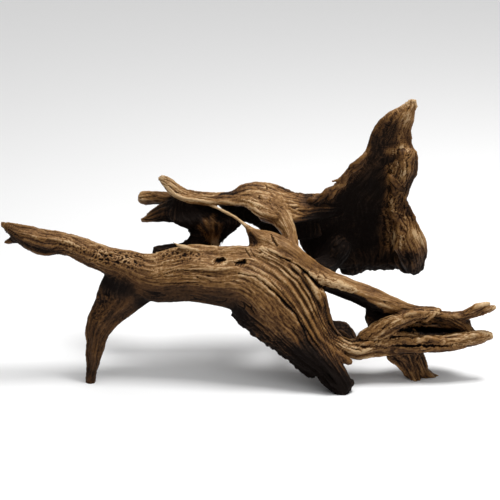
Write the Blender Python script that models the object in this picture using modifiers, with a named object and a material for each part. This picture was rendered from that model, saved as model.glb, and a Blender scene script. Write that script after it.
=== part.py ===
"""Bogwood: one dark, water-worn root with an arched trunk in front and a hollow stump behind it.

Every limb is a row of stations, in millimetres. A station says where the limb's middle shows in the
front view and how thick the limb is there:

    (across, up, back, width, depth, lean, bow)

across runs from the left tip to the right, up from the heel of the front foot, and back is how far
behind that heel the station lies, along the ground. The front view looks down by VIEW_TILT. width and
depth are half thicknesses, square to the limb: width as the front view shows it, depth away from it.
lean turns the section about the limb, in degrees, and bow hollows it towards the front. Both may be
left out. The sections of LEVEL_LIMBS lie level across the front view instead, so there width is the
half span at that height. All limbs are fused into one wood, which is then sawn apart at its main forks.
"""

import math

import bmesh
import bpy
import numpy as np
from mathutils import Vector, noise

# Driving dimensions, in metres
MIDDLE_ACROSS = 0.2504
MIDDLE_BACK = 0.0695
VIEW_TILT = math.radians(20)
VIEW_DISTANCE = 1.6
VIEW_MIDDLE = (0.250, 0.143)
SAW_KERF = 0.0003
MM = 0.001

# How finely the wood is modelled
RING_POINTS = 24
STATION_STEP = 0.005
FUSE_SIZE = 0.0018
FUSE_SMOOTHING = 4
CREASE_ROUNDS = 24
CREASE_PACE = 0.8
FACETS_KEPT = 0.0455

# Weathering that the solids carry: flutes along each limb, and low lumps all over
FLUTES = ((5, 0.045, 0.7), (8, 0.035, 2.1), (13, 0.022, 4.0))
FLUTE_TWIST = 9.0
LUMP_SIZE = 0.021
LUMP_HEIGHT = 0.0016

SIGHT = Vector((0, math.cos(VIEW_TILT), -math.sin(VIEW_TILT)))
VIEW_UP = Vector((0, math.sin(VIEW_TILT), math.cos(VIEW_TILT)))
VIEW_CENTRE = Vector((VIEW_MIDDLE[0] - MIDDLE_ACROSS, -MIDDLE_BACK, 0)) + VIEW_UP * VIEW_MIDDLE[1]
EYE = VIEW_CENTRE - SIGHT * VIEW_DISTANCE

LIMBS = {
    # The arched trunk, from the left fork to the heel of the front foot
    "trunk": [
        (108, 132, 44, 12, 12), (122, 128, 45, 15, 13), (140, 119.3, 46, 21, 16),
        (158, 115, 47, 24, 19), (190, 119.7, 48, 27.8, 22), (218, 116.7, 47, 28.6, 24),
        (246, 113, 45, 33.5, 26), (272, 95, 38, 35, 25), (294, 72, 30, 34, 21),
        (307, 52, 22, 25, 17), (317.5, 38, 15, 18.5, 14), (328.5, 26, 10, 13, 11.5),
        (337.5, 14, 5, 11.6, 10.5), (342, 8, 3, 9.5, 9),
    ],
    "heel": [(341, 9, 3, 8, 7.5), (341, 3, 2, 7, 7), (341, -4, 0, 6, 6)],
    "heel_edge": [(337.5, 1.5, 2, 3.2, 6), (345, 6, 3, 3.6, 7.5), (351, 10.5, 4.5, 3, 6)],
    "trunk_skirt": [
        (236, 79, 37, 4, 7), (244, 73, 34, 5.5, 7), (254, 66, 32, 6.5, 6), (264, 57.5, 30, 5.6, 5),
        (276, 50.5, 27, 7, 5), (286, 42.5, 25, 6, 4.5), (296, 36, 22, 7, 4.5), (303, 28.5, 20, 6, 4),
        (309, 22.5, 18, 4.6, 4), (312.5, 19.5, 17, 3.4, 3),
    ],
    "heel_splinter": [
        (328, 46, 17, 6, 6), (337, 38.5, 15, 4.6, 5), (343, 35, 14, 3.8, 4), (348.5, 31.5, 13.5, 3.2, 3.2),
    ],
    "trunk_splinter": [(173, 151, 46, 0.9, 1.2), (178, 146.5, 46, 2, 2.5), (188, 140, 46, 4, 5)],
    # The left arm and its broken, two-toothed tip
    "arm": [
        (1.8, 169.3, 36, 1.6, 2), (10, 165, 37, 5.4, 5), (20, 159.5, 38, 9, 9), (32, 154.5, 39, 11.4, 11),
        (46, 150.5, 40, 12.4, 11.5), (58, 150, 41, 10.4, 10.5), (70, 147.7, 42, 10, 10.5),
        (82, 142.5, 43, 11.2, 11), (95, 137, 44, 12, 11.5), (110, 132, 45, 12.6, 12), (125, 127.5, 46, 14.5, 13),
    ],
    "arm_tooth": [
        (6, 150.8, 37, 1.4, 1.6), (12, 152.3, 37.5, 2.7, 2.8), (20, 154, 38, 4, 4.5), (30, 154, 39, 6, 6),
    ],
    # The left leg, which tapers to a point on the ground
    "leg": [
        (129, 123, 46, 22, 13), (126, 112, 45, 25, 14), (124, 101, 44, 27.5, 14), (124, 94, 43, 29, 13),
        (117, 86, 42, 25.5, 12.5), (112, 81, 41, 22, 12), (103.7, 71, 39, 17, 11), (98.7, 60, 37, 12.8, 10),
        (97, 53, 35, 9.8, 9), (95.3, 45, 33.5, 9, 8), (94, 39, 32, 8.2, 7.5), (93.5, 30, 30, 6.5, 6),
        (91.3, 18, 28, 4.8, 5), (90.8, 9, 26.5, 4.6, 4.6), (90.6, 2, 26, 4.4, 4.4),
    ],
    # The branch that leaves the knot and runs down to the claw
    "branch": [
        (249, 164, 62, 3.2, 4), (257, 156.5, 61, 7, 8), (270, 150, 59, 11, 12), (286, 142.5, 56, 10.5, 12),
        (301, 132, 53, 8.5, 11), (315, 121, 51, 9, 10.5), (330, 111.5, 49, 10.5, 11), (350, 103.5, 46, 10.3, 11.5),
        (368, 96, 43, 11, 11), (385, 90.3, 41, 8.6, 10), (400, 86, 40, 6.5, 8), (415, 83.5, 39, 4, 6),
        (428, 83.3, 39, 2.6, 4), (439, 83.5, 39, 1.1, 2),
    ],
    "knot_strut": [
        (249, 163, 61, 3, 3.5), (252.5, 155, 60, 4.5, 5), (257, 148, 58, 7, 7), (263, 141, 54, 9, 8),
    ],
    # The lower branch, from the trunk to the claw, and the web that joins it to the branch above
    "lower_branch": [
        (264, 141, 51, 9, 11), (282, 132, 48, 10, 12), (299, 118.5, 44, 10, 12), (312, 103, 38, 9.5, 11),
        (319.5, 87, 33, 8, 10), (322, 73, 30, 8.5, 10), (327.5, 60, 28, 8.5, 9.5), (336, 50.5, 27, 8, 9),
        (345, 46.7, 27, 7.3, 8.5), (356, 44, 28, 8.5, 9), (370, 49, 30, 12.5, 11), (385, 53, 33, 15, 12),
        (398, 55, 34, 14, 12), (410, 53, 33, 11, 10),
    ],
    "web": [
        (371, 76.5, 43, 14.5, 5, 0, 3), (380, 77.5, 43.5, 13.5, 5, 0, 3), (392, 78.5, 43, 10.5, 5, 0, 2),
        (405, 80, 41, 7.5, 5, 0, 1), (418, 81.5, 39, 4.5, 4.5), (428, 82.5, 38, 2.5, 3.5),
    ],
    # The claw: a ridge and a jaw either side of a hollow, with a prong at the end of each
    "claw_ridge": [
        (366, 55, 31, 7, 8), (378, 60.5, 30, 8.5, 9), (390, 67.5, 29, 8, 9), (402, 72.5, 29, 6.5, 8),
        (414, 76.5, 30, 5, 7), (426, 79.8, 32, 3.4, 5), (438, 81.3, 35, 1.6, 3),
    ],
    "upper_prong": [
        (424, 80.5, 37, 2.6, 4), (440, 78.2, 38, 3.6, 5), (452, 76.5, 38, 4.6, 5.5), (463, 76.6, 37, 5.4, 5.8),
        (473, 79.4, 36, 5, 5.4), (482, 82.2, 35, 4.8, 5), (489, 84, 34, 3.9, 4), (494.5, 84.8, 34, 2, 2.4),
    ],
    "prong_bridge": [
        (448, 77, 37, 3.5, 4.5), (456, 73.5, 37, 4, 4.5), (463, 69.5, 38, 4, 5), (468, 65.5, 38, 3.8, 5),
        (471, 60, 37, 4, 5),
    ],
    "jaw": [
        (388, 49, 32, 9.5, 10), (402, 49, 30, 8.5, 10), (420, 48.8, 30, 6.8, 9), (440, 50, 31, 7, 9),
        (460, 52.3, 32, 7, 8), (475, 55, 33, 6.9, 7), (484, 56.5, 33, 5.2, 5.5), (489.5, 57.2, 33, 3, 3.4),
    ],
    "jaw_ledge": [
        (388, 44.5, 27, 2.7, 4), (405, 44, 25, 3, 4), (425, 43.8, 25, 3, 4), (440, 44, 25, 3, 4),
        (455, 45, 26, 2.2, 3), (466, 46.5, 27, 0.9, 1.5),
    ],
    "hollow_wall": [
        (394, 68, 43, 9, 6, 0, 2), (410, 67.5, 47, 13, 5.5, 0, 5), (430, 66.5, 48, 14, 5, 0, 7),
        (448, 66.5, 47, 13, 5, 0, 6), (460, 66, 44, 11, 5, 0, 3), (467, 65.5, 42, 9, 5),
    ],
    # The fin under the claw, which stands on two teeth
    "fin": [(404, 45, 35, 20.5, 6.5), (409, 36, 36, 16, 6), (413, 29, 36.5, 13.5, 5.5), (416, 22, 36.5, 12, 5)],
    "front_tooth": [(412, 22, 35, 6.5, 5), (415, 15.5, 33.5, 5, 4.5), (417, 10, 32, 3.6, 3.6)],
    "rear_tooth": [(422, 22, 38, 5.5, 4.5), (429, 17.8, 40, 4.6, 4.4), (436, 14, 41.5, 2.8, 3)],
    # The plank behind, which curls up at its left end, with the strap and the ribbon that tie it to the knot
    "plank": [
        (161.5, 214.5, 100, 3, 3), (169, 208.7, 99, 7, 3.5, 50), (177, 202, 98, 9, 3.5, 55),
        (187, 197.8, 97, 10, 3.5, 60), (198, 195.5, 96, 9, 3.5, 60), (210, 194.5, 95, 9, 3.5, 60),
        (222, 194.5, 95, 9, 3.5, 60), (233, 195, 95, 11, 4, 55), (242, 197, 95, 14, 6, 48),
        (252, 197, 95, 18.5, 8, 45), (263, 193.5, 94, 23, 9, 45), (275, 189.5, 95, 24, 9, 45),
        (288, 186.7, 98, 20, 9, 40), (302, 185, 104, 16, 9, 30), (318, 186, 111, 13, 8, 20),
        (334, 187, 119, 8, 6, 10),
    ],
    "strap": [
        (270, 184, 89, 15, 8), (280, 175, 80, 10.5, 7), (287, 165, 72, 7.5, 6), (290, 157, 67, 6.2, 6),
        (292, 149, 61, 6.5, 7),
    ],
    "ribbon": [
        (196, 192, 93, 2.4, 3.5), (210, 188, 90, 2, 3.5), (225, 181, 82, 1.8, 3.5), (237, 174.5, 73, 1.8, 3.5),
        (245, 168, 65, 2.2, 3.5), (251, 163, 61, 3, 4),
    ],
    "curtain": [
        (192, 195, 100, 18, 5), (191, 188, 98, 21, 5), (195, 183, 95, 27, 5.5), (202, 176, 91, 33, 5.5),
        (208, 171, 88, 34, 6), (211, 167, 88, 29, 6.5), (211, 160, 90, 21, 7.5), (204.5, 153, 92, 19, 8),
        (198, 148, 93, 22, 8), (197, 141, 93, 22, 9), (201, 131, 93, 16, 9),
    ],
    # The dark wall that closes the space between the plank, the ribbon and the knot
    "inner_wall": [
        (264, 190, 108, 49, 5), (268, 184, 107, 48, 5), (273, 178, 107, 43, 5), (275, 172.5, 107, 41, 5),
        (287, 168.5, 107, 33, 5), (292, 158, 107, 30, 5),
    ],
    # The stub on the left of the plank, forked into a blunt prong and a pointed one
    "blunt_prong": [
        (145, 195, 124, 6.2, 6.5), (156, 194.8, 120, 6.5, 7), (168, 193.5, 115, 7, 8),
        (182, 190, 109, 8, 8), (195, 186, 103, 8, 7),
    ],
    "pointed_prong": [
        (143, 173.6, 105, 1.8, 2.2), (150, 175, 104, 4.2, 5), (160, 179.3, 102, 7.4, 7), (172, 181.5, 101, 10, 8),
        (186, 180, 100, 11, 8), (198, 179, 98, 12, 8),
    ],
    # The root that hangs behind the trunk, broken off on the left
    "hanging_root": [
        (158.5, 141.5, 88, 6.2, 6.5), (166, 141.8, 89, 7, 7), (176, 141.5, 90, 8, 8), (190, 139, 92, 10, 9),
        (205, 136, 93, 11, 10),
    ],
    "hanging_end": [(206, 134, 93, 12, 9), (207, 120, 93, 9, 8)],
    # The hollow stump: a wall bowed towards the front, with two lumps on its right edge
    "stump": [
        (369, 129.5, 111, 54, 8, 0, 20), (367, 137, 110, 62, 9, 0, 24), (364, 146, 109, 65.5, 10, 0, 27),
        (362, 154, 108, 66, 10.5, 0, 29), (360, 166, 106, 61, 11, 0, 28), (358.5, 175, 105, 59, 11, 0, 27),
        (359, 187, 104, 51.5, 11, 0, 24), (361.5, 196, 105, 45.5, 11, 0, 21), (368.5, 205, 107, 40, 11, 0, 18),
        (376, 214, 108, 35.5, 11, 0, 15), (384, 225, 110, 31.5, 12, 0, 12), (388.5, 236, 111, 27.5, 12, 0, 9),
        (390, 246, 111, 23, 12, 0, 7),
    ],
    "left_lobe": [(351, 140, 133, 17, 8), (354, 126, 132, 15.5, 8)],
    "right_lobe": [(408, 138, 124, 16, 10), (411, 128, 123, 12.5, 8)],
    "upper_lump": [
        (403, 241, 108, 4, 3), (406, 238, 108, 11, 8.5), (406.5, 230, 108, 11.3, 9.5), (404.5, 221, 108, 11.8, 9.5),
        (402, 210, 109, 9.5, 8), (400, 200, 110, 8, 7),
    ],
    "lower_lump": [
        (401, 188, 111, 7, 6), (404, 176, 110, 9, 7.5), (406.5, 164, 108, 12, 9.5), (408.5, 154, 107, 14.5, 11),
        (411, 145, 108, 14.5, 11.5), (413, 135, 110, 12, 11), (414, 127, 112, 9.5, 9),
    ],
    # The horn on top of the stump
    "horn": [
        (390, 240, 111, 25.5, 12, 0, 8), (389.5, 251, 111, 22, 11.5, 0, 6), (391, 262, 111, 19.5, 11, 0, 4),
        (396, 272, 110, 17.7, 9.5), (402, 280, 110, 13, 7.5), (409, 287, 110, 7.7, 5), (411, 290.5, 110, 4.5, 4),
    ],
    # The back root, which carries the stump and stands on two toes, and its stub to the branch in front
    "back_root": [
        (338, 146, 116, 14, 12), (322, 124, 112, 12, 12), (315, 105, 109, 10.5, 11), (315, 87, 107, 9.5, 10),
        (321, 70, 104, 10, 10.5), (331, 61, 102, 10.5, 11), (341, 60, 100, 11.5, 12), (350, 48, 95, 9, 9),
        (357, 40, 90, 7, 7), (360.5, 33, 88, 6, 6), (361.5, 29, 87, 5, 5),
    ],
    "rear_toe": [(322, 72, 108, 10, 10), (314, 60, 120, 8, 8), (309, 50, 130, 6, 6), (307, 40, 134, 4.5, 5)],
    "cross_root": [(313, 121, 54, 9, 9), (314, 124, 80, 9, 9), (328, 128, 108, 10, 10)],
}

# Limbs with level sections
LEVEL_LIMBS = ("leg", "curtain", "inner_wall", "stump", "horn")

# Cracks that open along the grain in the front of the trunk, and two small holes. Each is a row of points
# of the front view, with how far it opens to either side there and how deep it goes, in millimetres
CRACKS = (
    (
        (262, 145, 0.9, 2), (280, 136, 1.7, 4), (300, 123, 2.4, 7), (310, 114, 3.6, 9), (318, 108, 2.6, 7),
        (328, 99, 1.2, 3),
    ),
    (
        (240, 119, 0.8, 1.5), (258, 115, 1.8, 3.5), (270, 106, 2.2, 4.5), (285, 91, 2.4, 5), (297, 77, 2, 4),
        (303, 63, 1, 2),
    ),
    ((300, 95, 1, 1.5), (310, 83, 1.8, 3), (318, 68, 1.8, 3), (325, 53, 1.6, 3), (335, 43, 1, 2)),
    ((310, 103, 1, 1.5), (320, 83, 1.8, 3), (328, 66, 1.6, 3), (338, 49, 1, 2)),
    ((218, 131, 3, 4.5), (221, 131, 3, 4.5)),
    ((238, 130, 2.6, 4.5), (243, 130, 2.6, 4.5)),
)
# Only wood in front of this, in metres, is cracked
CRACKED_FRONT = 0.0

# Saw cuts through the forks: the middle of the cut, the way that the blade faces, and how far it reaches.
# The blade faces (across, up, back), and like the stations all of this is in millimetres
SAW_CUTS = [
    ((127, 101, 44), (0.372, 0.928, 0), 18),
    ((109.5, 137, 45), (0.955, -0.296, 0), 14),
    ((294, 122, 50), (0.57, 0.82, 0), 20),
    ((353, 46, 28), (0.95, 0.3, 0), 12),
    ((384, 92, 41), (1, 0, 0), 12),
    ((370, 86, 44), (-0.22, 0.97, 0), 10),
    ((404, 39.5, 35), (0, 1, 0), 14),
    ((288, 166, 75), (0.1, 0.7, 0.6), 10),
    ((239, 173, 72), (0.8, -0.4, -0.6), 7),
    ((314, 123, 77), (0, 0, 1), 12),
    ((306, 188, 102), (1, 0, 0), 18),
    ((178, 189, 106), (0.85, -0.3, 0), 14),
    ((207, 155, 91), (0, 1, 0), 14),
    ((389, 243, 108), (-0.12, 1, 0), 20),
    ((322, 122, 112), (0.5, 0.86, 0), 15),
]

# Each piece of wood that the saw leaves, and a station inside it, in millimetres
PIECES = {
    "trunk": (218, 117, 47),
    "left_arm": (46, 150.5, 40),
    "left_leg": (95, 43, 33),
    "branch": (325, 113, 50),
    "lower_branch": (370, 50, 30),
    "claw": (420, 49.5, 30),
    "claw_foot": (408, 30, 36),
    "back_plank": (263, 192.5, 94),
    "forked_stub": (155, 194.5, 120),
    "hanging_root": (190, 138, 92),
    "stump": (363, 148, 108),
    "horn": (394, 265, 111),
    "back_root": (339, 61, 101),
}

# Colour of bare wood, and of the wood that has gone dark
BARE_WOOD = (0.155, 0.083, 0.037)
STAINED_WOOD = (0.045, 0.024, 0.012)
STAINED_PIECES = ("stump", "back_root", "hanging_root", "forked_stub", "left_leg", "claw_foot")


def seen(across, up, back):
    """The world point that shows `across` and `up` in the front view, `back` behind the heel."""
    side = across * MM - VIEW_MIDDLE[0]
    rise = up * MM - VIEW_MIDDLE[1]
    sine, cosine = math.sin(VIEW_TILT), math.cos(VIEW_TILT)
    along_sight = (back * MM - up * MM * sine) / (cosine + rise * sine / VIEW_DISTANCE)
    magnify = 1 + along_sight / VIEW_DISTANCE
    return VIEW_CENTRE + SIGHT * along_sight + magnify * (Vector((side, 0, 0)) + VIEW_UP * rise)


def shown(point):
    """Where a world point shows in the front view, as across and up in millimetres."""
    offset = point - EYE
    magnify = offset.dot(SIGHT) / VIEW_DISTANCE
    across = offset.x / magnify + VIEW_MIDDLE[0]
    up = offset.dot(VIEW_UP) / magnify + VIEW_MIDDLE[1]
    return across / MM, up / MM


def empty_scene():
    for obj in list(bpy.data.objects):
        bpy.data.objects.remove(obj)


def between(values, t):
    """Catmull-Rom value between the second and the third of four."""
    a, b, c, d = values
    return 0.5 * (2 * b + (c - a) * t + (2 * a - 5 * b + 4 * c - d) * t * t + (3 * b - a - 3 * c + d) * t ** 3)


def sections_of(stations):
    """Stations as world points with their sizes, eased along the limb at STATION_STEP."""
    rows = []
    for across, up, back, width, depth, *shape in stations:
        lean, bow = (*shape, 0, 0)[:2]
        rows.append((*seen(across, up, back), width * MM, depth * MM, math.radians(lean), bow * MM))
    sections = []
    for i in range(len(rows) - 1):
        around = [rows[max(i - 1, 0)], rows[i], rows[i + 1], rows[min(i + 2, len(rows) - 1)]]
        length = (Vector(rows[i + 1][:3]) - Vector(rows[i][:3])).length
        steps = max(2, round(length / STATION_STEP))
        for step in range(steps):
            sections.append([between(column, step / steps) for column in zip(*around)])
    sections.append(list(rows[-1]))
    return sections


def axes_of(along, level):
    """The directions across and into the front view that a section of a limb lies in."""
    if level:
        return Vector((1, 0, 0)), SIGHT
    across = along.cross(SIGHT)
    if across.length < 0.35:
        across = Vector((0, 0, 1)).cross(along)
    across.normalize()
    inward = across.cross(along).normalized()
    if inward.dot(SIGHT) < 0:
        inward.negate()
    return across, inward


def ring(centre, axes, width, depth, lean, bow, shrink, turn):
    """One closed row of points around a limb, fluted."""
    across, inward = axes
    wide = across * math.cos(lean) + inward * math.sin(lean)
    deep = inward * math.cos(lean) - across * math.sin(lean)
    points = []
    for i in range(RING_POINTS):
        angle = 2 * math.pi * i / RING_POINTS
        flute = min(width, depth) * sum(part * math.cos(n * angle + phase + turn) for n, part, phase in FLUTES)
        side = math.cos(angle) * (width + flute) * shrink
        rise = math.sin(angle) * (depth + flute) * shrink + bow * (1 - min(1, (side / width) ** 2))
        points.append(centre + wide * side + deep * rise)
    return points


def loft(stations, level, drawing):
    """Draws a limb: rings through its sections, with rounded ends."""
    sections = sections_of(stations)
    points = [Vector(row[:3]) for row in sections]
    last = len(points) - 1
    rings = []
    for i, row in enumerate(sections):
        along = (points[min(i + 1, last)] - points[max(i - 1, 0)]).normalized()
        turn = FLUTE_TWIST * i * STATION_STEP
        axes = axes_of(along, level)
        rings.append(ring(points[i], axes, *row[3:7], 1, turn))
        if i not in (0, last):
            continue
        outward = along if i else -along
        for part in (0.45, 0.8, 0.97):
            end = points[i] + outward * min(row[3:5]) * part
            rings.append(ring(end, axes, *row[3:7], math.sqrt(1 - part * part), turn))
        if not i:
            rings.reverse()
    rows = [[drawing.verts.new(point) for point in points] for points in rings]
    for low, high in zip(rows, rows[1:]):
        for i in range(RING_POINTS):
            j = (i + 1) % RING_POINTS
            drawing.faces.new((low[i], low[j], high[j], high[i]))
    drawing.faces.new(list(reversed(rows[0])))
    drawing.faces.new(rows[-1])


def settled(mesh, *modifiers):
    """The mesh after the given modifiers, each a kind and its settings."""
    draft = bpy.data.objects.new("Draft", mesh)
    bpy.context.scene.collection.objects.link(draft)
    for kind, settings in modifiers:
        modifier = draft.modifiers.new(kind.title(), kind)
        for setting, value in settings.items():
            setattr(modifier, setting, value)
    result = bpy.data.meshes.new_from_object(draft.evaluated_get(bpy.context.evaluated_depsgraph_get()))
    bpy.data.objects.remove(draft)
    bpy.data.meshes.remove(mesh)
    return result


def islands(drawing):
    """The loose parts of a drawing, each as a list of its vertices, with the largest first."""
    waiting = set(drawing.verts)
    found = []
    for start in drawing.verts:
        if start not in waiting:
            continue
        waiting.discard(start)
        island = [start]
        for vertex in island:
            for edge in vertex.link_edges:
                other = edge.other_vert(vertex)
                if other in waiting:
                    waiting.discard(other)
                    island.append(other)
        found.append(island)
    return sorted(found, key=len, reverse=True)


def fill_creases(mesh):
    """Moves the hollow places of a mesh out towards their neighbours, so that the limbs flow together."""
    count = len(mesh.vertices)
    flat = np.empty(count * 3, np.float32)
    mesh.vertices.foreach_get("co", flat)
    points = flat.reshape(-1, 3).astype(np.float64)
    ends = np.empty(len(mesh.edges) * 2, np.int32)
    mesh.edges.foreach_get("vertices", ends)
    first, second = ends.reshape(-1, 2).T
    degree = np.bincount(ends, minlength=count)
    for _ in range(CREASE_ROUNDS):
        mesh.vertices.foreach_get("normal", flat)
        normals = flat.reshape(-1, 3)
        middles = np.stack([
            (np.bincount(first, column[second], count) + np.bincount(second, column[first], count)) / degree
            for column in points.T
        ], axis=1)
        outward = np.maximum(((middles - points) * normals).sum(axis=1), 0)
        points += normals * (outward * CREASE_PACE)[:, None]
        mesh.vertices.foreach_set("co", points.astype(np.float32).reshape(-1))
        mesh.update()


def crack_depth(across, up):
    """How deep the deepest crack goes at a point of the front view, in millimetres."""
    deepest = 0
    for crack in CRACKS:
        for start, end in zip(crack, crack[1:]):
            run, rise = end[0] - start[0], end[1] - start[1]
            t = ((across - start[0]) * run + (up - start[1]) * rise) / (run * run + rise * rise)
            t = min(1, max(0, t))
            gap = math.hypot(across - start[0] - run * t, up - start[1] - rise * t)
            opening = start[2] + (end[2] - start[2]) * t
            depth = start[3] + (end[3] - start[3]) * t
            deepest = max(deepest, depth * (1 - gap / opening))
    return deepest


def grown_wood():
    """One closed mesh of all the limbs grown together, with the low lumps of worn wood and the cracks."""
    drawing = bmesh.new()
    for limb, stations in LIMBS.items():
        loft(stations, limb in LEVEL_LIMBS, drawing)
    bmesh.ops.recalc_face_normals(drawing, faces=drawing.faces)
    mesh = bpy.data.meshes.new("Limbs")
    drawing.to_mesh(mesh)
    drawing.free()
    mesh = settled(
        mesh,
        ("REMESH", {"mode": "VOXEL", "voxel_size": FUSE_SIZE}),
        ("SMOOTH", {"iterations": FUSE_SMOOTHING}),
    )
    fill_creases(mesh)
    normals = [vertex.normal.copy() for vertex in mesh.vertices]
    for vertex, normal in zip(mesh.vertices, normals):
        vertex.co += normal * LUMP_HEIGHT * noise.noise(vertex.co / LUMP_SIZE)
        if normal.dot(SIGHT) < 0 and vertex.co.y < CRACKED_FRONT:
            vertex.co += SIGHT * MM * crack_depth(*shown(vertex.co))
    mesh = settled(mesh, ("DECIMATE", {"ratio": FACETS_KEPT}))
    return mesh


def crossed_faces(drawing, point, normal, reach):
    """The faces that a plane crosses, in each closed row of them that comes within reach of the point."""
    sides = {vertex: (vertex.co - point).dot(normal) > 0 for vertex in drawing.verts}
    crossing = [face for face in drawing.faces if len({sides[vertex] for vertex in face.verts}) == 2]
    found = {face: None for face in crossing if (face.calc_center_median() - point).length < reach}
    row = list(found)
    for face in row:
        for edge in face.edges:
            if sides[edge.verts[0]] == sides[edge.verts[1]]:
                continue
            for other in edge.link_faces:
                if other not in found:
                    found[other] = None
                    row.append(other)
    return row


def saw(drawing, middle, facing, reach):
    """Takes the kerf out of the wood along a plane through the middle, and closes both faces of the cut."""
    point = seen(*middle)
    side, rise, depth = facing
    normal = (Vector((side, 0, 0)) + VIEW_UP * rise + SIGHT * depth).normalized()
    for half in (-0.5, 0.5):
        start = point + normal * SAW_KERF * half
        faces = crossed_faces(drawing, start, normal, reach * MM)
        edges = list({edge: None for face in faces for edge in face.edges})
        corners = list({vertex: None for face in faces for vertex in face.verts})
        bmesh.ops.bisect_plane(drawing, geom=corners + edges + faces, plane_co=start, plane_no=normal)
    thin = SAW_KERF * 0.51
    near = {vertex for vertex in drawing.verts if abs((vertex.co - point).dot(normal)) < thin}
    dust = [face for face in drawing.faces if near.issuperset(face.verts)]
    bmesh.ops.delete(drawing, geom=dust, context="FACES")
    rim = [edge for edge in drawing.edges if edge.is_boundary]
    bmesh.ops.holes_fill(drawing, edges=rim, sides=0)


def trim_to_ground(drawing):
    """Cuts the wood level at the ground, and closes the soles."""
    everything = drawing.verts[:] + drawing.edges[:] + drawing.faces[:]
    bmesh.ops.bisect_plane(
        drawing, geom=everything, plane_co=(0, 0, 0), plane_no=(0, 0, -1), clear_outer=True
    )
    rim = [edge for edge in drawing.edges if edge.is_boundary]
    bmesh.ops.holes_fill(drawing, edges=rim, sides=0)


def wood(name, colour):
    material = bpy.data.materials.new(name)
    material.use_nodes = True
    shader = material.node_tree.nodes["Principled BSDF"]
    shader.inputs["Base Color"].default_value = (*colour, 1)
    shader.inputs["Roughness"].default_value = 0.6
    return material


def build():
    empty_scene()
    mesh = grown_wood()
    drawing = bmesh.new()
    drawing.from_mesh(mesh)
    crumbs = [vertex for island in islands(drawing)[1:] for vertex in island]
    bmesh.ops.delete(drawing, geom=crumbs, context="VERTS")
    trim_to_ground(drawing)
    for middle, facing, reach in SAW_CUTS:
        saw(drawing, middle, facing, reach)
    bmesh.ops.triangulate(drawing, faces=drawing.faces)

    collection = bpy.data.collections.new("Bogwood")
    bpy.context.scene.collection.children.link(collection)
    bare = wood("Bare wood", BARE_WOOD)
    stained = wood("Stained wood", STAINED_WOOD)
    parts = islands(drawing)
    for name, inside in PIECES.items():
        target = seen(*inside)
        island = min(parts, key=lambda part: min((vertex.co - target).length for vertex in part))
        parts.remove(island)
        index = {vertex: i for i, vertex in enumerate(island)}
        faces = {face: None for vertex in island for face in vertex.link_faces}
        piece = bpy.data.meshes.new(name)
        piece.from_pydata(
            [vertex.co for vertex in island], [], [[index[vertex] for vertex in face.verts] for face in faces]
        )
        piece.materials.append(stained if name in STAINED_PIECES else bare)
        collection.objects.link(bpy.data.objects.new(name, piece))
    drawing.free()
    bpy.data.meshes.remove(mesh)
    bpy.context.view_layer.update()


build()
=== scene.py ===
import math
import random

import bmesh
import bpy
import numpy as np
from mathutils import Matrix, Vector


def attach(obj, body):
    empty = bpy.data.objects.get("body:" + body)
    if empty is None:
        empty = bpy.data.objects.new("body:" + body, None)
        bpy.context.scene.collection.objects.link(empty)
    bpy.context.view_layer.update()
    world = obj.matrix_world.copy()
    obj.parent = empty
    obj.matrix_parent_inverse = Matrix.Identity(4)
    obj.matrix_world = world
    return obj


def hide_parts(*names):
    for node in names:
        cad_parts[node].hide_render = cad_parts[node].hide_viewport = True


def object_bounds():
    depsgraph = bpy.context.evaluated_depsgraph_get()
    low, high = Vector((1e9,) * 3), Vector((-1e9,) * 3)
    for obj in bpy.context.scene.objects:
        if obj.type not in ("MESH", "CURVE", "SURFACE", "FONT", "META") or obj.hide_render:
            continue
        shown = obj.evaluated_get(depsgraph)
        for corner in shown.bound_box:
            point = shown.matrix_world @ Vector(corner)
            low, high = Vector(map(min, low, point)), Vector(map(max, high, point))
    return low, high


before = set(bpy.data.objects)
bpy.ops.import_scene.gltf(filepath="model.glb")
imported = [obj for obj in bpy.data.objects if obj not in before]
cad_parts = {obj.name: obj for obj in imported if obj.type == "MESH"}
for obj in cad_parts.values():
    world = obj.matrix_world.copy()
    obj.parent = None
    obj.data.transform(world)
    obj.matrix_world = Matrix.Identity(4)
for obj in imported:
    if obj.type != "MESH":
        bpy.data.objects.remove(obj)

cad_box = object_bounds()

# The view. The wood is seen from a little above its front, from 1.6 m away. Everything below is placed by
# where it shows in that view: across from the left tip, up from the heel of the front foot, and back
# behind that heel, all in millimetres.
VIEW_TILT = math.radians(20)
VIEW_DISTANCE = 1.6
VIEW_WIDTH = 0.5
VIEW_MIDDLE = (0.250, 0.143)
MIDDLE_ACROSS = 0.2504
MIDDLE_BACK = 0.0695
MM = 0.001

SIGHT = Vector((0, math.cos(VIEW_TILT), -math.sin(VIEW_TILT)))
VIEW_UP = Vector((0, math.sin(VIEW_TILT), math.cos(VIEW_TILT)))
VIEW_CENTRE = Vector((VIEW_MIDDLE[0] - MIDDLE_ACROSS, -MIDDLE_BACK, 0)) + VIEW_UP * VIEW_MIDDLE[1]
EYE = VIEW_CENTRE - SIGHT * VIEW_DISTANCE


def seen(across, up, back):
    """The world point that shows `across` and `up` in the view, `back` behind the heel."""
    side = across * MM - VIEW_MIDDLE[0]
    rise = up * MM - VIEW_MIDDLE[1]
    sine, cosine = math.sin(VIEW_TILT), math.cos(VIEW_TILT)
    along_sight = (back * MM - up * MM * sine) / (cosine + rise * sine / VIEW_DISTANCE)
    magnify = 1 + along_sight / VIEW_DISTANCE
    return VIEW_CENTRE + SIGHT * along_sight + magnify * (Vector((side, 0, 0)) + VIEW_UP * rise)


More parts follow.
